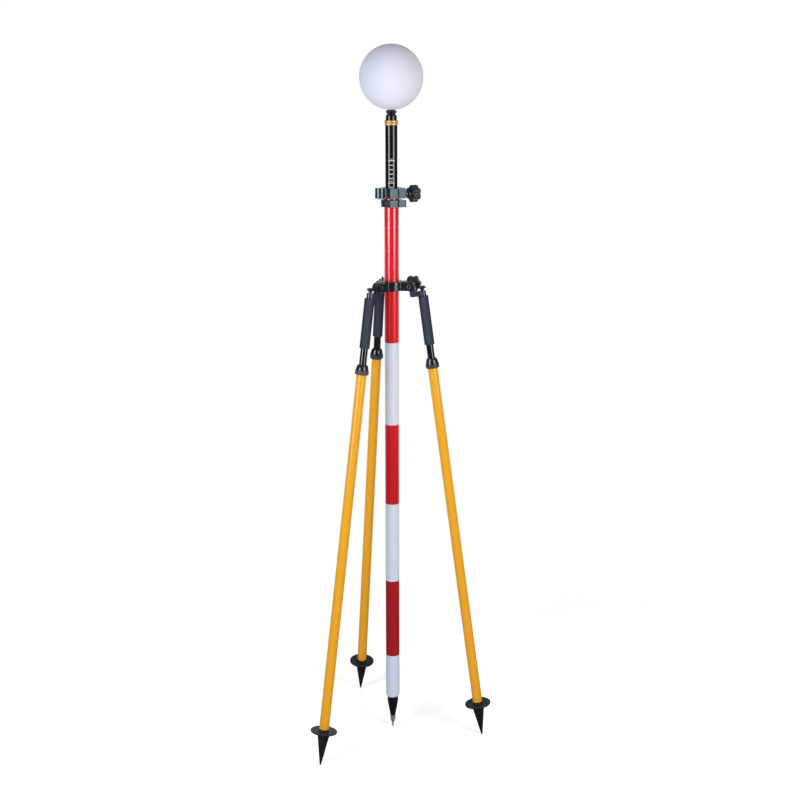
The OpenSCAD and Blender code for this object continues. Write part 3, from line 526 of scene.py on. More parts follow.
# %% Finishes of small pieces
bearing_plastic = grained("bearing_plastic", (0.72, 0.71, 0.66), 0.55,
                          polish=((400,), 0.48, 0.62), bump=((1600,), 0.01, 0.5))
brake_plastic = grained("brake_plastic", (0.38, 0.24, 0.11), 0.55,
                        tone=((500,), (0.33, 0.20, 0.09), (0.43, 0.28, 0.13)), bump=((1500,), 0.01, 0.5))
plain_metal = grained("plain_metal", (0.58, 0.58, 0.58), 0.38, 1.0,
                      polish=((900, 3.0, LATHE), 0.30, 0.46), bump=((2600, 2.0, LATHE), 0.01, 0.5))
cup_brass = grained("cup_brass", (0.60, 0.42, 0.16), 0.30, 1.0,
                    polish=((700,), 0.24, 0.38), bump=((2600, 2.0, LATHE), 0.008, 0.5))
scale_ink = grained("scale_ink", (0.72, 0.72, 0.75), 0.55,
                    tone=((900,), (0.60, 0.60, 0.63), (0.76, 0.76, 0.79)), bump=((1500,), 0.004, 0.4))
vial_fluid = grained("vial_fluid", (0.62, 0.80, 0.16), 0.12, IOR=1.45, Coat_Weight=0.6, Coat_Roughness=0.05,
                     tone=((120,), (0.56, 0.75, 0.13), (0.66, 0.84, 0.19)))
vial_bubble = grained("vial_bubble", (0.86, 0.93, 0.62), 0.08, IOR=1.45, Coat_Weight=0.8, Coat_Roughness=0.03,
                      tone=((300,), (0.80, 0.90, 0.52), (0.92, 0.96, 0.74)))
print("Small pieces:", bearing_plastic.name, plain_metal.name, cup_brass.name, vial_fluid.name)

# %% [markdown]
# Nearly everything here was turned on a lathe or drawn as a tube, so one helper makes most of the object: it
# takes an outline of radii and heights and carries it round an axis. Blender's Spin or Screw could do the
# same, but a ring of vertices for each outline point keeps the poles closed and the faces even, and the knobs
# and the thread need such rings too. Another helper rounds the outline's corners first.

# %% Helpers for shapes
SIDES = 96
TINY = 1e-6
BARELY_BENT = 0.02
MOST_OF_SIDE = 0.45
EASE_STEPS = 4


def eased(outline, radius, closed=True):
    """The outline with its corners rounded, as a cutter or a mould leaves them."""
    points = [Vector(point) for point in outline]
    last = len(points) - 1
    made = []
    for i, here in enumerate(points):
        before, after = points[i - 1] - here, points[(i + 1) % len(points)] - here
        straight = abs(before.normalized().cross(after.normalized())) < BARELY_BENT
        if straight or (not closed and i in (0, last)) or here.x < TINY:
            made.append(here)
            continue
        reach = min(radius, before.length * MOST_OF_SIDE, after.length * MOST_OF_SIDE)
        start, end = here + before.normalized() * reach, here + after.normalized() * reach
        for step in range(EASE_STEPS + 1):
            t = step / EASE_STEPS
            made.append(start * (1 - t) ** 2 + here * 2 * t * (1 - t) + end * t ** 2)
    return [(point.x, point.y) for point in made]


def ring_at(shape, radii, z):
    """A ring of vertices round the Z axis at a height, one for each radius, in millimetres."""
    turns = [math.tau * i / len(radii) for i in range(len(radii))]
    points = [(r * MM * math.cos(turn), r * MM * math.sin(turn), z * MM) for r, turn in zip(radii, turns)]
    return [shape.verts.new(point) for point in points]


def skin(shape, rings, closed=False):
    """Faces between rings that follow each other. A ring of one vertex closes the shape."""
    sides = max(len(ring) for ring in rings)
    for low, high in zip(rings, rings[1:] + rings[:1] if closed else rings[1:]):
        for i in range(sides):
            j = (i + 1) % sides
            face = (low[i % len(low)], low[j % len(low)], high[j % len(high)], high[i % len(high)])
            face = list(dict.fromkeys(face))
            if len(face) > 2:
                shape.faces.new(face)


def turned(outline, closed=True, sides=SIDES):
    """A shape turned round the Z axis from an outline of (radius, height) in millimetres."""
    shape = bmesh.new()
    skin(shape, [ring_at(shape, [0] if r < TINY else [r] * sides, z) for r, z in outline], closed)
    return shape


print("Helpers: eased, ring_at, skin, turned")

# %% [markdown]
# A shape then becomes an object at the origin that rides on its body. Its normals are weighted by the area of
# the faces: otherwise the small round at a tube's end would tilt the shading along the whole tube, and the
# bright lines would fade. Where a piece has two finishes, the height of a face tells which of them it takes.

# %% Helpers for pieces
SNUG = 0.05
HAIR = 0.02


def evaluated(thing):
    """A mesh of an object as its modifiers leave it."""
    return bpy.data.meshes.new_from_object(thing.evaluated_get(bpy.context.evaluated_depsgraph_get()))


def two_tone(shape, is_second, place=POLE):
    """Gives the second finish to the faces whose height in millimetres passes a test."""
    back = place.inverted()
    for face in shape.faces:
        face.material_index = 1 if is_second((back @ face.calc_center_median()).z / MM) else 0


def piece(name, shape, finishes, body, nodes=(), place=POLE, crease=32):
    """An object made of a shape, at the origin, that rides on a CAD body and stands for CAD nodes."""
    bmesh.ops.transform(shape, matrix=place, verts=shape.verts[:])
    bmesh.ops.recalc_face_normals(shape, faces=shape.faces[:])
    data = bpy.data.meshes.new(name)
    shape.to_mesh(data)
    shape.free()
    for material in finishes:
        data.materials.append(material)
    data.shade_smooth()
    data.set_sharp_from_angle(angle=math.radians(crease))
    made = placed(name, data)
    even = made.modifiers.new("even", "WEIGHTED_NORMAL")
    even.keep_sharp = True
    shaded = evaluated(made)
    made.modifiers.remove(even)
    made.data = shaded
    bpy.data.meshes.remove(data)
    shaded.name = name
    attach(made, body)
    if nodes:
        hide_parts(*nodes)
    return made


def round_piece(name, node, outline, material, body, edge, closed=True, place=POLE):
    """A turned piece with eased corners that stands for one CAD node."""
    shape = turned(eased(outline, edge, closed=closed), closed)
    return piece(name, shape, [material], body, [node], place)


def tube_line(bore_r, tube_r, low, high):
    """The outline of a plain tube between its lowest and its highest corner."""
    return [(bore_r, low.z), (tube_r, low.z), (tube_r, high.z), (bore_r, high.z)]


print("Helpers: evaluated, two_tone, piece, round_piece, tube_line")

# %% [markdown]
# The outer tube is painted in bands of 200 mm, so that the pole can be read as a rough scale from far off.
# The bands could be a colour ramp along the height, but a ramp blurs when it is baked. Here the tube has a
# ring of vertices at each band's edge, and each face takes the red or the white paint.

# %% The banded pole
BAND = 200.0
BANDS = 6
low, high = measured("pole_tube")
pole_r = high.x
foot_bore, foot_r = radii_at("pole_tube", low.z)
pole_bore, roll_top = radii_at("pole_tube", high.z)[0], heights_of("pole_tube", pole_r)[0]
band_edges = [z for z in (BAND * i for i in range(1, BANDS)) if low.z < z < high.z]
outline = [(foot_bore, low.z), (foot_r, low.z), (pole_r, roll_top)] + [(pole_r, z) for z in band_edges]
outline += [(pole_r, high.z), (pole_bore, high.z), (pole_bore, roll_top)]
shape = turned(eased(outline, 0.5))
two_tone(shape, lambda z: z // BAND % 2 == 1 or z // BAND >= len(band_edges))
piece("banded_pole", shape, (white_paint, red_paint), "pole", ["pole_tube"])
print(f"Banded pole: {2 * pole_r:.0f} mm across, {len(band_edges) + 1} bands")

# %% [markdown]
# Under the tube, whose end is rolled in, sit a tapered black holder and the steel point that stands on the
# mark. Both are turned parts, so their outlines can be read off the CAD solids: corner by corner from the
# bottom up, and where two corners share a height, the one nearer to the last corner comes first. The dark tip
# is a band of faces of its own, below the step.

# %% Holder and point
TIP_MARGIN = 0.3


def solid_outline(node):
    """The outline of a turned CAD solid without a bore, from the axis below to the axis above."""
    outline = []
    rings = [(r, z) for r, z in corners(node) if r > ON_AXIS]
    for height in sorted({z for r, z in rings}):
        here = sorted(r for r, z in rings if z == height)
        last = outline[-1][0] if outline else 0.0
        here = [here[0], here[-1]] if abs(here[0] - last) <= abs(here[-1] - last) else [here[-1], here[0]]
        outline += [(r, height) for r in dict.fromkeys(here)]
    return [(0, outline[0][1])] + outline + [(0, outline[-1][1])]


low, high = measured("point_holder")
tube_foot = measured("pole_tube")[0].z
shoulder = tube_foot - HAIR
thread_r, neck_r = radii_at("point_holder", low.z)
holder_r, spigot_r = radii_at("point_holder", tube_foot)[1], pole_bore - SNUG
thread_top, straight = heights_of("point_holder", thread_r)[1], heights_of("point_holder", holder_r)[0]
outline = [(0, thread_top), (thread_r, thread_top), (thread_r, low.z), (neck_r, low.z), (holder_r, straight),
           (holder_r, shoulder), (foot_bore - SNUG, shoulder), (spigot_r, roll_top), (spigot_r, high.z),
           (0, high.z)]
round_piece("point_holder_turned", "point_holder", outline, tube_black, "pole", 0.6, False)

outline = solid_outline("pole_point")
tip_top = outline[2][1]
shape = turned(eased(outline, 0.35, closed=False), closed=False)
two_tone(shape, lambda z: z < tip_top - TIP_MARGIN)
piece("steel_point", shape, [turned_steel, tip_steel], "pole", ["pole_point"])
print(f"Point {low.z:.0f} mm long, its tip {tip_top:.1f} mm, holder up to {tube_foot:.0f} mm")

# %% [markdown]
# The inner tube slides in the outer one. Above it come the gold lock ring with its groove, the black adapter
# with a vee groove and the sphere. The sphere is a shell that is open where the adapter's thread goes in, and
# it is drawn as an arc that goes round the axis, so its surface is as even as the real one.

# %% Inner tube, ring, adapter and sphere
GROOVE_MOUTH = 1.1
GROOVE_FLOOR = 0.4
BALL_WALL = 3.0
BALL_STEPS = 96
BALL_SIDES = 160

low, high = measured("inner_tube")
inner_r, inner_foot = high.x, low.z
outline = tube_line(radii_at("inner_tube", high.z)[0], inner_r, low, high)
round_piece("inner_tube_drawn", "inner_tube", outline, tube_black, "extension", 0.4)

low, high = measured("lock_ring")
ring_r, ring_foot, middle = high.x, low.z, (low.z + high.z) / 2
ring_bore, groove_r = radii_at("lock_ring", low.z)[0], radii_at("lock_ring", middle)[1]
groove = [(ring_r, middle - GROOVE_MOUTH), (groove_r, middle - GROOVE_FLOOR),
          (groove_r, middle + GROOVE_FLOOR), (ring_r, middle + GROOVE_MOUTH)]
outline = [(ring_bore, low.z), (ring_r, low.z)] + groove + [(ring_r, high.z), (ring_bore, high.z)]
round_piece("gold_lock_ring", "lock_ring", outline, gold_ring, "extension", 0.9)

round_piece("adapter_turned", "sphere_adapter", solid_outline("sphere_adapter"), tube_black, "extension",
            0.5, closed=False)
ball_low, ball_high = measured("target_sphere")
ball_r = (ball_high.x - ball_low.x) / 2
ball_z = ball_high.z - ball_r
mouth = radii_at("target_sphere", ball_low.z)[0]


def arc(r, steps):
    """Points on a circle of the sphere's centre from its mouth up to its top."""
    start = math.asin(mouth / r)
    turns = [start + (math.pi - start) * i / steps for i in range(steps)]
    return [(r * math.sin(turn), ball_z - r * math.cos(turn)) for turn in turns] + [(0, ball_z + r)]


shell = turned(arc(ball_r, BALL_STEPS) + arc(ball_r - BALL_WALL, BALL_STEPS // 2)[::-1], sides=BALL_SIDES)
piece("target_ball", shell, [sphere_coat], "extension", ["target_sphere"])
print(f"Sphere of {2 * ball_r:.0f} mm, centre {ball_z:.0f} mm above the point")

# %% [markdown]
# What repeats is grown by Geometry Nodes. Two helpers serve every such tree: one makes the tree with its
# named inputs, and the other lets it grow on an empty object, takes the result as a plain shape and removes
# the object.

# %% Helpers for shapes that grow
def growing_tree(name, sockets):
    """A geometry node tree with named inputs, each of a kind and with a value, and those inputs."""
    tree = bpy.data.node_groups.new(name, "GeometryNodeTree")
    tree.interface.new_socket("Geometry", in_out="OUTPUT", socket_type="NodeSocketGeometry")
    made = {}
    for label, kind, value in sockets:
        made[label] = tree.interface.new_socket(label, in_out="INPUT", socket_type="NodeSocket" + kind)
        made[label].default_value = value
    return tree, made


def grown(name, tree, sockets, **values):
    """A shape from a node tree, with its inputs set by their sockets' identifiers."""
    seed = placed(name + "_seed", bpy.data.meshes.new(name + "_seed"))
    modifier = seed.modifiers.new("grow", "NODES")
    modifier.node_group = tree
    for label, value in values.items():
        modifier[sockets[label].identifier] = value
    data = evaluated(seed)
    shape = bmesh.new()
    shape.from_mesh(data)
    bpy.data.objects.remove(seed)
    bpy.data.meshes.remove(data)
    return shape


print("Helpers: growing_tree, grown")

# %% [markdown]
# White marks every 10 mm run down the front of the inner tube, with a longer one every 50 mm. Marks repeat,
# so they come from Geometry Nodes: a line of points gets a thin bar at each, every fifth bar is made longer,
# and Set Position then wraps the bars round the tube by turning their X into an angle. The number above each
# long mark is the height of the sphere's centre in centimetres when that mark is level with the collar.

# %% The scale
TICK = 10.0
LONG_EVERY = 5
SHORT_MARK, LONG_MARK, MARK_THICK = 9.5, 15.5, 1.6
FIRST_MARK = 1423.5
BARE_FOOT = 60
INK = 0.05

ticks, tick_inputs = growing_tree("scale_marks", (
    ("Marks", "Int", 10), ("Top", "Float", 1.0), ("Pitch", "Float", 0.01), ("Radius", "Float", 0.014),
    ("Short", "Float", 0.009), ("Long", "Float", 0.015), ("Thick", "Float", 0.0015),
    ("Ink", "Float", INK * MM)))
given = wire(ticks, "NodeGroupInput").outputs
step_down = combine(ticks, 0, 0, maths(ticks, "MULTIPLY", given["Pitch"], -1))
start = combine(ticks, 0, 0, given["Top"])
line = wire(ticks, "GeometryNodeMeshLine", {
    "Count": given["Marks"], "Start Location": start, "Offset": step_down}, mode="OFFSET")
bar_size = combine(ticks, 1, given["Ink"], given["Thick"])
bar = wire(ticks, "GeometryNodeMeshCube", {"Vertices X": 11, "Size": bar_size})
fifth = maths(ticks, "MODULO", wire(ticks, "GeometryNodeInputIndex"), LONG_EVERY)
is_long = maths(ticks, "LESS_THAN", fifth, 0.5)
extra = maths(ticks, "MULTIPLY", is_long, maths(ticks, "SUBTRACT", given["Long"], given["Short"]))
stretch = combine(ticks, maths(ticks, "ADD", given["Short"], extra), 1, 1)
bars = wire(ticks, "GeometryNodeInstanceOnPoints", {"Points": line, "Instance": bar, "Scale": stretch})
real = wire(ticks, "GeometryNodeRealizeInstances", {"Geometry": bars})
where = parts(ticks, wire(ticks, "GeometryNodeInputPosition"))
angle = maths(ticks, "DIVIDE", where["X"], given["Radius"])
around = maths(ticks, "SUBTRACT", given["Radius"], where["Y"])
side = maths(ticks, "MULTIPLY", around, maths(ticks, "SINE", angle))
front = maths(ticks, "MULTIPLY", around, maths(ticks, "COSINE", angle))
wrapped = combine(ticks, side, maths(ticks, "MULTIPLY", front, -1), where["Z"])
wrap = wire(ticks, "GeometryNodeSetPosition", {"Geometry": real, "Position": wrapped})
inked = wire(ticks, "GeometryNodeSetMaterial", {"Geometry": wrap, "Material": scale_ink})
wire(ticks, "NodeGroupOutput", {"Geometry": inked})

marks = int((FIRST_MARK - inner_foot - BARE_FOOT) / TICK)
shape = grown("scale", ticks, tick_inputs, Marks=marks, Top=FIRST_MARK * MM, Pitch=TICK * MM,
              Radius=inner_r * MM, Short=SHORT_MARK * MM, Long=LONG_MARK * MM, Thick=MARK_THICK * MM,
              Ink=INK * MM)
piece("scale_marks", shape, [scale_ink], "extension")
print(f"{marks} marks on the inner tube")

# %% [markdown]
# The numbers are text, which has to become a mesh before it can be bent: it is filled, given the thickness of
# ink, laid flat in front of the tube and wrapped in the same way as the marks.

# %% The numbers
NUMBER_SIZE = 4.2
NUMBER_LIFT = 2.2
FIRST_NUMBER = 155


def number_mesh(words, z):
    """A number as a thin mesh on the front of the inner tube, with its foot at height z."""
    letters = bpy.data.curves.new("number", "FONT")
    letters.body = words
    letters.size = NUMBER_SIZE * MM
    letters.align_x = "CENTER"
    letters.extrude = INK * MM / 2
    letters.resolution_u = 3
    holder = placed("number", letters)
    data = evaluated(holder)
    bpy.data.objects.remove(holder)
    bpy.data.curves.remove(letters)
    shape = bmesh.new()
    shape.from_mesh(data)
    bmesh.ops.remove_doubles(shape, verts=shape.verts[:], dist=TINY / 10)
    for vertex in shape.verts:
        x, y, thick = vertex.co
        r, a = inner_r * MM + thick, x / (inner_r * MM)
        vertex.co = (r * math.sin(a), -r * math.cos(a), z * MM + y)
    shape.to_mesh(data)
    shape.free()
    return data


together = bmesh.new()
for i in range(0, marks, LONG_EVERY):
    one = number_mesh(str(FIRST_NUMBER + i), FIRST_MARK - TICK * i + NUMBER_LIFT)
    together.from_mesh(one)
    bpy.data.meshes.remove(one)
piece("scale_numbers", together, [scale_ink], "extension")
print("Numbers from", FIRST_NUMBER, "upwards")

# %% [markdown]
# Fine ribs run round the gold ring and the caps of the legs, so that fingers can grip them. They could be cut
# one by one, but ribs repeat too: a circle of points gets a slim bar at each. Three numbers, how many, how
# far out and how tall, make the same small tree fit the ring and the caps.

# %% A ring of ribs
RING_RIBS = 60
RING_RIB = {"sunk": 0.1, "foot": 1.3, "top": 1.5, "thick": 0.30}

ribs, rib_inputs = growing_tree("rib_ring", (
    ("Ribs", "Int", 40), ("Radius", "Float", 0.015), ("Height", "Float", 0.008), ("Middle", "Float", 0.0),
    ("Thick", "Float", 0.0004), ("Material", "Material", moulded_black)))
given = wire(ribs, "NodeGroupInput").outputs
circle = wire(ribs, "GeometryNodeMeshCircle", {"Vertices": given["Ribs"], "Radius": given["Radius"]})
middle_up = combine(ribs, 0, 0, given["Middle"])
lifted = wire(ribs, "GeometryNodeTransform", {"Geometry": circle, "Translation": middle_up})
rod = wire(ribs, "GeometryNodeMeshCylinder", {
    "Vertices": 8, "Radius": given["Thick"], "Depth": given["Height"]})
rods = wire(ribs, "GeometryNodeInstanceOnPoints", {"Points": lifted, "Instance": rod})
solid = wire(ribs, "GeometryNodeRealizeInstances", {"Geometry": rods})
coloured = wire(ribs, "GeometryNodeSetMaterial", {"Geometry": solid, "Material": given["Material"]})
wire(ribs, "NodeGroupOutput", {"Geometry": coloured})


def rib_ring(name, count, radius, foot, top, material, rib):
    """A ring of upright ribs on a band between two heights, sunk a little into it, all in millimetres."""
    foot, top = foot + rib["foot"], top - rib["top"]
    return grown(name, ribs, rib_inputs, Ribs=count, Radius=(radius - rib["sunk"]) * MM,
                 Height=(top - foot) * MM, Middle=(foot + top) / 2 * MM, Thick=rib["thick"] * MM,
                 Material=material)


shape = rib_ring("ring_ribs", RING_RIBS, ring_r, ring_foot, middle, gold_ring, RING_RIB)
piece("lock_ring_ribs", shape, [gold_ring], "extension")
print(RING_RIBS, "ribs on the gold ring")

# %% [markdown]
# The collars, the tripod's head and the leg hinges are milled blocks and castings with flat faces, slots and
# bores, and the screws and the ring nut are small turned things with sockets. They could be drawn again, but
# their CAD solids already have the right faces, and only the edges are too sharp. A CAD mesh is loose
# triangles, so a copy is welded first, flat neighbours are joined into whole faces, and then every edge
# sharper than 40 degrees gets a small bevel.

# %% Milled blocks and castings
SHARP = math.radians(40)
FLAT = math.radians(0.5)


def welded(node):
    """A copy of a CAD solid whose loose triangles are joined at their corners."""
    shape = bmesh.new()
    shape.from_mesh(frame["nodes"][node].data)
    bmesh.ops.remove_doubles(shape, verts=shape.verts[:], dist=TINY)
    return shape


def bevelled(node, width):
    """A welded copy of a CAD solid with its sharp edges eased by so many millimetres."""
    shape = welded(node)
    bmesh.ops.dissolve_limit(shape, angle_limit=FLAT, verts=shape.verts[:], edges=shape.edges[:],
                             use_dissolve_boundaries=False)
    sharp = [edge for edge in shape.edges if len(edge.link_faces) == 2 and edge.calc_face_angle(0) > SHARP]
    bmesh.ops.bevel(shape, geom=sharp, offset=width * MM, offset_type="OFFSET", segments=2, profile=0.5,
                    affect="EDGES", clamp_overlap=True)
    return shape


milled = [("clamp_collar", "pole", blasted_black, 0.5, "black_anodised"),
          ("lower_collar", "pole", blasted_black, 0.5, "black_anodised"),
          ("head_clamp", "head", head_black, 0.6, "black_anodised"),
          ("collar_screw", "pole", dull_steel, 0.25, "steel"),
          ("level_screws", "pole", dull_steel, 0.2, "steel"),
          ("pivot_screws", "head", dull_steel, 0.35, "steel"), ("stud_nut", "head", dull_steel, 0.5, "steel")]
# The hinges take the navy base colour of painted sheen
milled += [(f"leg_hinge_{leg}", f"leg_{leg}", painted_sheen_navy, 0.6, "black_anodised") for leg in LEGS]
for node, body, material, width, slot in milled:
    piece(node + "_milled", bevelled(node, width), [material], body, [node])
print(len(milled), "bevelled copies of CAD solids")

# %% [markdown]
# The two clamp knobs are moulded with six broad lobes for the fingers. A circle with six smaller circles
# round it gives the outline as a radius for each angle, and a few passes of smoothing ease the corners of the
# notches. The body is then a stack of these outlines, each drawn in a little, so that every edge is soft,
# with a plug in the crown. The sizes of the lobes, the notches and the hub are read off the CAD knob.

# %% Lobed knobs
LOBES = 6
KNOB_POINTS = 240
LOBE_SHARE = 0.33
SMOOTHINGS = 4
TOP_EDGE = 2.6
FOOT_EDGE = 1.6
HUB_FOOT = ((-0.6, 0), (-0.15, 0.2), (0, 0.7))
HUB_TOP = ((0, -0.8), (0.3, -0.2), (0.9, 0))
CLEAR_OF_HUB = 2
BORE_LAP = 0.3
PLUG = [(6.4, 0), (6.1, 0.15), (6.0, 0.5), (5.8, 0.55), (5.6, 0.4), (4.0, 0.1)]


def lobe_radii(knob_r, floor_r, turn):
    """The knob's radius at each angle, with six lobes, the first of them at the angle turn."""
    half, lobe_r = math.pi / LOBES, knob_r * LOBE_SHARE
    centre = knob_r - lobe_r
    radii = []
    for i in range(KNOB_POINTS):
        off = (math.tau * i / KNOB_POINTS - turn + half) % (2 * half) - half
        inside = lobe_r ** 2 - (centre * math.sin(off)) ** 2
        radii.append(max(floor_r, centre * math.cos(off) + math.sqrt(inside)) if inside > 0 else floor_r)
    for _ in range(SMOOTHINGS):
        radii = [(radii[i - 1] + 2 * radii[i] + radii[(i + 1) % KNOB_POINTS]) / 4 for i in range(KNOB_POINTS)]
    return radii


def lobed_knob(radii, foot, under, crown, hub_r, bore_r):
    """A lobed knob along +Z, from the foot of its hub to its crown, in millimetres."""
    quarter = [math.radians(d) for d in range(0, 91, 15)]
    hub = [(bore_r, foot)] + [(hub_r + out, foot + up) for out, up in HUB_FOOT]
    hub += [(hub_r + out, under + up) for out, up in HUB_TOP]
    insets = [(FOOT_EDGE * (1 - math.sin(a)), under + FOOT_EDGE * (1 - math.cos(a))) for a in quarter]
    insets += [(TOP_EDGE * (1 - math.cos(a)), crown - TOP_EDGE * (1 - math.sin(a))) for a in quarter]
    layers = [([0], foot)] + [([r] * KNOB_POINTS, z) for r, z in hub]
    layers += [([r - inset for r in radii], z) for inset, z in insets]
    layers += [([r] * KNOB_POINTS, crown - sunk) for r, sunk in PLUG] + [([0], crown)]
    shape = bmesh.new()
    skin(shape, [ring_at(shape, around, z) for around, z in layers])
    return shape


def knob_axis(joint):
    """The axis of a knob, which points from the clamp out to the knob's crown, with +X upward."""
    turn = joints[joint]
    return axes(turn["pos_m"], turn["axis"], (0, 0, 1))


for joint, knob in (("pole_clamp_knob", "clamp_knob"), ("head_clamp_knob", "head_knob")):
    place = knob_axis(joint)
    low, high = measured(knob, place)
    bore_r, hub_r = radii_at(knob, low.z, place)
    knob_r, first = max(high.x, high.y), 0.0 if high.x > high.y else math.pi / LOBES
    body = [(r, z) for r, z in corners(knob, place) if r > hub_r + CLEAR_OF_HUB]
    floor_r, under = min(r for r, z in body), min(z for r, z in body)
    shape = lobed_knob(lobe_radii(knob_r, floor_r, first), low.z, under, high.z, hub_r, bore_r - BORE_LAP)
    piece(knob + "_lobed", shape, [knob_grey], knob, [knob], place)
    print(f"{knob}: {2 * knob_r:.1f} mm over its lobes, notches {knob_r - floor_r:.1f} mm deep")

# %% [markdown]
# Each knob pulls on a steel stud. The clamp's stud shows between the ear and the knob, so it gets a real
# thread: a ring of vertices every sixth of a turn, whose radius swings with the angle. The head's stud is
# also the pivot of a leg, so it keeps its CAD shape with eased edges, and its end inside the ring nut is
# coloured dark, as painted shade in the nut's recess.

# %% Studs
PITCH = 1.0
THREAD_DEPTH = 0.45
THREAD_SIDES = 48
PER_PITCH = 6
DULL_END = 1
SHADED_END = 5


def threaded(outer_r, foot, top):
    """A stud along +Z with a real screw thread, closed at both ends."""
    shape = bmesh.new()
    count = max(2, int((top - foot) / PITCH * PER_PITCH))
    rings = []
    for k in range(count + 1):
        z = foot + (top - foot) * k / count
        phases = [(z / PITCH - i / THREAD_SIDES) % 1.0 for i in range(THREAD_SIDES)]
        cuts = [1 - abs(2 * phase - 1) if 0 < k < count else 1 for phase in phases]
        rings.append(ring_at(shape, [outer_r - THREAD_DEPTH * cut for cut in cuts], z))
    skin(shape, rings)
    shape.faces.new(rings[0][::-1])
    shape.faces.new(rings[-1])
    return shape


place = knob_axis("pole_clamp_knob")
low, high = measured("clamp_stud", place)
dull_end = low.z + DULL_END
shape = threaded(high.x, low.z + SNUG, high.z)
two_tone(shape, lambda z: z < dull_end)
piece("clamp_stud_threaded", shape, [bright_steel, dull_steel], "clamp_knob", ["clamp_stud"], place,
      crease=50)

place = knob_axis("head_clamp_knob")
shaded_end = measured("head_stud", place)[0].z + SHADED_END
# Painted shade: the stud's end in the ring nut's recess takes the dark coated finish
shape = bevelled("head_stud", 0.3)
two_tone(shape, lambda z: z < shaded_end, place)
piece("head_stud_milled", shape, [bright_steel, coated_steel], "head_knob", ["head_stud"])
print("A threaded stud and a pivot stud")

# %% [markdown]
# The circular level sits in the lug of the clamp collar: a turned cup, three adjusting screws under it and a
# clear vial with a bubble. Seen from above, the vial is a pale green dome with a dark ring, and the bubble is
# inside the ring when the pole stands upright.

# %% The circular level
CUP_WALL, CUP_FLOOR = 1.1, 2.0
DOME_BELOW_RIM, DOME_EDGE, DOME_RISE = 0.4, 0.8, 0.75
PRINT_IN, PRINT_OUT, PRINT_INK = 3.6, 4.0, 0.06
BUBBLE_R, BUBBLE_RISE, BUBBLE_FOOT = 2.6, 0.28, 0.12

cup_low, cup_high = measured("level_cup")
cup_centre = (cup_low + cup_high) / 2
level_place = Matrix.Translation((cup_centre.x * MM, cup_centre.y * MM, 0))
cup_r, cup_floor = (cup_high.x - cup_low.x) / 2, cup_low.z + CUP_FLOOR
bore_r = cup_r - CUP_WALL
outline = [(0, cup_low.z), (cup_r, cup_low.z), (cup_r, cup_high.z), (bore_r, cup_high.z), (bore_r, cup_floor),
           (0, cup_floor)]
round_piece("level_cup_turned", "level_cup", outline, cup_brass, "pole", 0.35, False, level_place)

vial_r, dome_foot = bore_r - SNUG, cup_high.z - DOME_BELOW_RIM - DOME_EDGE
quarter = [math.radians(d) for d in range(0, 91, 15)]
outline = [(0, cup_floor + SNUG), (vial_r, cup_floor + SNUG), (vial_r, dome_foot)]
outline += [(vial_r * math.cos(a), dome_foot + DOME_RISE * math.sin(a)) for a in quarter[1:]]
shape = turned(outline, closed=False)
piece("level_vial_dome", shape, [vial_fluid], "pole", ["level_vial"], level_place)


def on_dome(r):
    """Height of the vial's dome at a radius."""
    return dome_foot + DOME_RISE * math.sqrt(max(0.0, 1 - (r / vial_r) ** 2))


edges = ((PRINT_IN, 0), (PRINT_IN, PRINT_INK), (PRINT_OUT, PRINT_INK), (PRINT_OUT, 0))
shape = turned([(r, on_dome(r) + ink) for r, ink in edges])
piece("level_ring", shape, [moulded_black], "pole", (), level_place)
bubble = [(BUBBLE_R * math.cos(a), on_dome(0) - SNUG + BUBBLE_RISE * math.sin(a)) for a in quarter]
bubble = [(0, on_dome(0) - BUBBLE_FOOT), (BUBBLE_R, on_dome(0) - BUBBLE_FOOT)] + bubble
bubble[-1] = (0, bubble[-1][1])
piece("level_bubble", turned(bubble, closed=False), [vial_bubble], "pole", (), level_place)
print(f"Level: cup of {2 * cup_r:.0f} mm, vial of {2 * bore_r:.0f} mm")

# %% [markdown]
# Each leg is the same set of turned pieces on its own leaning axis. They could be made for one leg and
# copied, but a copy has to be placed again, so a function makes them for whichever leg it is given, and a
# change to one leg is a change to all three. The part that swings has a drawn tube, a foam grip on it and a
# mushroom button on top.

# %% Upper legs
BRIM_CURVE = ((0.25, 0.45), (0.60, 0.80))
BRIM_LIP = (0.5, 0.4)
CROWN_STEPS = 12


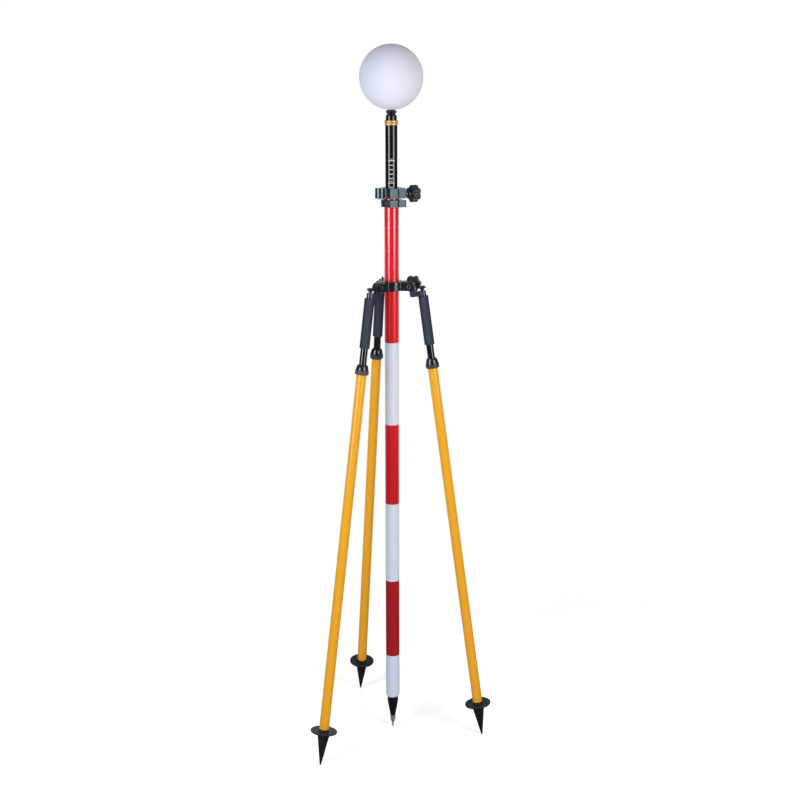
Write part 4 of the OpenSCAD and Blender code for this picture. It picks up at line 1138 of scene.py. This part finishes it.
def upper_leg(leg):
    """The tube, the grip and the button of one leg."""
    place, body = leg_places[leg], f"leg_{leg}"

    node = f"upper_leg_{leg}"
    low, high = measured(node, place)
    bore_r, tube_r = radii_at(node, high.z, place)
    outline = tube_line(bore_r, tube_r, low, high)
    round_piece(f"upper_tube_{leg}", node, outline, tube_black, body, 0.3, place=place)

    node = f"grip_{leg}"
    low, high = measured(node, place)
    grip_r, grip_bore = high.x, tube_r + HAIR
    flank = [(grip_r, low.z + (high.z - low.z) * t) for t in (0.25, 0.5, 0.75)]
    outline = [(grip_bore, low.z), (grip_r, low.z)] + flank + [(grip_r, high.z), (grip_bore, high.z)]
    round_piece(f"foam_grip_{leg}", node, outline, grip_foam, body, 1.6, place=place)

    node, thumb = f"thumb_button_{leg}", f"thumb_{leg}"
    low, high = measured(node, place)
    head_r, stem_r = high.x, radii_at(node, low.z, place)[1]
    brim, rim = heights_of(node, head_r, place)
    neck = heights_of(node, stem_r, place)[1]
    dome_h, cone = high.z - rim, brim - neck
    dome = (head_r ** 2 + dome_h ** 2) / (2 * dome_h)
    turns = [math.asin(head_r / dome) * (1 - i / CROWN_STEPS) for i in range(1, CROWN_STEPS)]
    outline = [(0, low.z), (stem_r, low.z), (stem_r, neck)]
    outline += [(stem_r + (head_r - stem_r) * out, neck + cone * up) for out, up in BRIM_CURVE]
    outline += [(head_r - BRIM_LIP[0], brim), (head_r, brim + BRIM_LIP[1]), (head_r, rim)]
    outline += [(dome * math.sin(a), high.z - dome * (1 - math.cos(a))) for a in turns] + [(0, high.z)]
    round_piece(f"mushroom_button_{leg}", node, outline, moulded_black, thumb, 0.5, False,
                place)


for leg in LEGS:
    upper_leg(leg)
print(len(LEGS), "upper tubes with grips and buttons")

# %% [markdown]
# The cap slides along the upper tube with the lower leg. Below it has a ribbed band and above a bell, whose
# flank lies between an arc and a straight cone. The band gets the grey of its ribs.

# %% Caps
CAP_RIBS = 54
CAP_RIB = {"sunk": 0.12, "foot": 1.2, "top": 1.0, "thick": 0.42}
CAP_BAND = (0.8, 0.4)
CAP_CROWN = 6
CAP_PLAY = 0.1
BAND_EDGE = 0.2
BAND_STEP = 0.3
BELL_BOW = 0.6
BELL_STEPS = 10


def cap(leg):
    """The cap of one leg and its ribs."""
    place, node, body = leg_places[leg], f"slide_cap_{leg}", f"lower_leg_{leg}"
    low, high = measured(node, place)
    cap_r, foot, top = high.x, low.z, high.z
    tube_top = measured(f"upper_leg_{leg}", place)[1].z
    crown_bore = radii_at(f"upper_leg_{leg}", tube_top, place)[1] + CAP_PLAY
    cap_bore = measured(f"lower_leg_{leg}", place)[1].x + HAIR
    band_top = heights_of(node, cap_r, place)[1]
    bell_r = max(r for r, z in corners(node, place) if z > foot + 1 and r < cap_r - BAND_STEP)
    crown_r, rise = radii_at(node, top, place)[1], top - band_top
    bow = (rise ** 2 + (bell_r - crown_r) ** 2) / (2 * (bell_r - crown_r))
    turns = [math.asin(rise / bow) * i / BELL_STEPS for i in range(BELL_STEPS + 1)]
    curve = [(bell_r - bow * (1 - math.cos(a)), band_top + bow * math.sin(a)) for a in turns]
    flank = [bell_r + (crown_r - bell_r) * (z - band_top) / rise for r, z in curve]
    bell = [(r * BELL_BOW + straight * (1 - BELL_BOW), z) for (r, z), straight in zip(curve, flank)]
    outline = [(cap_bore, foot), (cap_r, foot), (cap_r, band_top - BAND_EDGE), (cap_r - BAND_EDGE, band_top)]
    outline += bell + [(crown_bore, top), (crown_bore, top - CAP_CROWN), (cap_bore, top - CAP_CROWN)]
    shape = turned(eased(outline, 0.6))
    two_tone(shape, lambda z: foot + CAP_BAND[0] < z < band_top - CAP_BAND[1])
    piece(f"bell_cap_{leg}", shape, [moulded_black, grip_grey], body, [node], place)
    shape = rib_ring("cap_ribs", CAP_RIBS, cap_r, foot, band_top, grip_grey, CAP_RIB)
    piece(f"cap_ribs_{leg}", shape, [grip_grey], body, (), place)


for leg in LEGS:
    cap(leg)
print(len(LEGS), "caps with", CAP_RIBS, "ribs each")

# %% [markdown]
# The yellow lower tube ends in a step plate on a black neck. A boot on the plate presses the spike below it
# into the ground.

# %% Lower legs
NECK_EASE = 1.0
SPIKE_TIP = 2.0


def lower_leg(leg):
    """The yellow tube, the step plate and the spike of one leg."""
    place, body = leg_places[leg], f"lower_leg_{leg}"

    node = f"lower_leg_{leg}"
    low, high = measured(node, place)
    tube_foot, tube_bore = low.z, radii_at(node, high.z, place)[0]
    outline = tube_line(tube_bore, high.x, low, high)
    round_piece(f"yellow_tube_{leg}", node, outline, yellow_paint, body, 0.4, place=place)

    node = f"foot_plate_{leg}"
    low, high = measured(node, place)
    plate_r, plate_under, stud_r = high.x, low.z, radii_at(node, low.z, place)[0]
    plate_top, neck_r = heights_of(node, plate_r, place)[1], radii_at(node, tube_foot, place)[1]
    neck_foot, spigot_r = plate_top + NECK_EASE, tube_bore - SNUG
    outline = [(stud_r, low.z), (plate_r, low.z), (plate_r, plate_top), (neck_r + NECK_EASE, plate_top),
               (neck_r, neck_foot), (neck_r, tube_foot), (spigot_r, tube_foot), (spigot_r, high.z),
               (stud_r, high.z)]
    shape = turned(eased(outline, 0.7))
    two_tone(shape, lambda z: neck_foot < z < tube_foot)
    piece(f"step_plate_{leg}", shape, [plate_coat, tube_black], body, [node], place)

    node = f"foot_spike_{leg}"
    low, high = measured(node, place)
    turns = [math.radians(d) for d in (0, 30, 60, 90)]
    outline = [(SPIKE_TIP * math.sin(a), low.z + SPIKE_TIP * (1 - math.cos(a))) for a in turns]
    pin_r = stud_r - SNUG
    outline += [(high.x, plate_under), (pin_r, plate_under), (pin_r, high.z), (0, high.z)]
    round_piece(f"ground_spike_{leg}", node, outline, coated_steel, body, 0.4, False, place)


for leg in LEGS:
    lower_leg(leg)
print(len(LEGS), "yellow tubes with step plates and spikes")

# %% [markdown]
# A return spring lies under each button. A smooth copy of it rides stiffly on the leg and is not squashed,
# so the flange of the pressed rod would cut through its coils.

# %% Return springs
for leg in LEGS:
    place, node, press = leg_places[leg], f"button_spring_{leg}", f"thumb_button_{leg}"
    low, high = measured(node, place)
    shape = welded(node)
    coil = piece(f"return_spring_{leg}", shape, [bright_steel], f"leg_{leg}", [node], crease=75)
    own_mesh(coil)

# %% [markdown]
# The pieces that stay as their CAD solids are one small screw and what is hidden inside: bushes, rods and
# brake collets. Their shapes are right, so they only get the finish of what they are made of.

# %% Finishes for the pieces that keep their CAD shape
kept = {"guide_bush": bearing_plastic, "inner_bush": bearing_plastic, "sphere_insert": plain_metal,
        "hinge_set_screw": coated_steel}
for leg in LEGS:
    kept[f"release_rod_{leg}"] = plain_metal
    kept[f"brake_collet_{leg}"] = brake_plastic
for node, material in kept.items():
    data = frame["nodes"][node].data
    data.materials.clear()
    data.materials.append(material)
print(len(kept), "CAD pieces keep their shape")
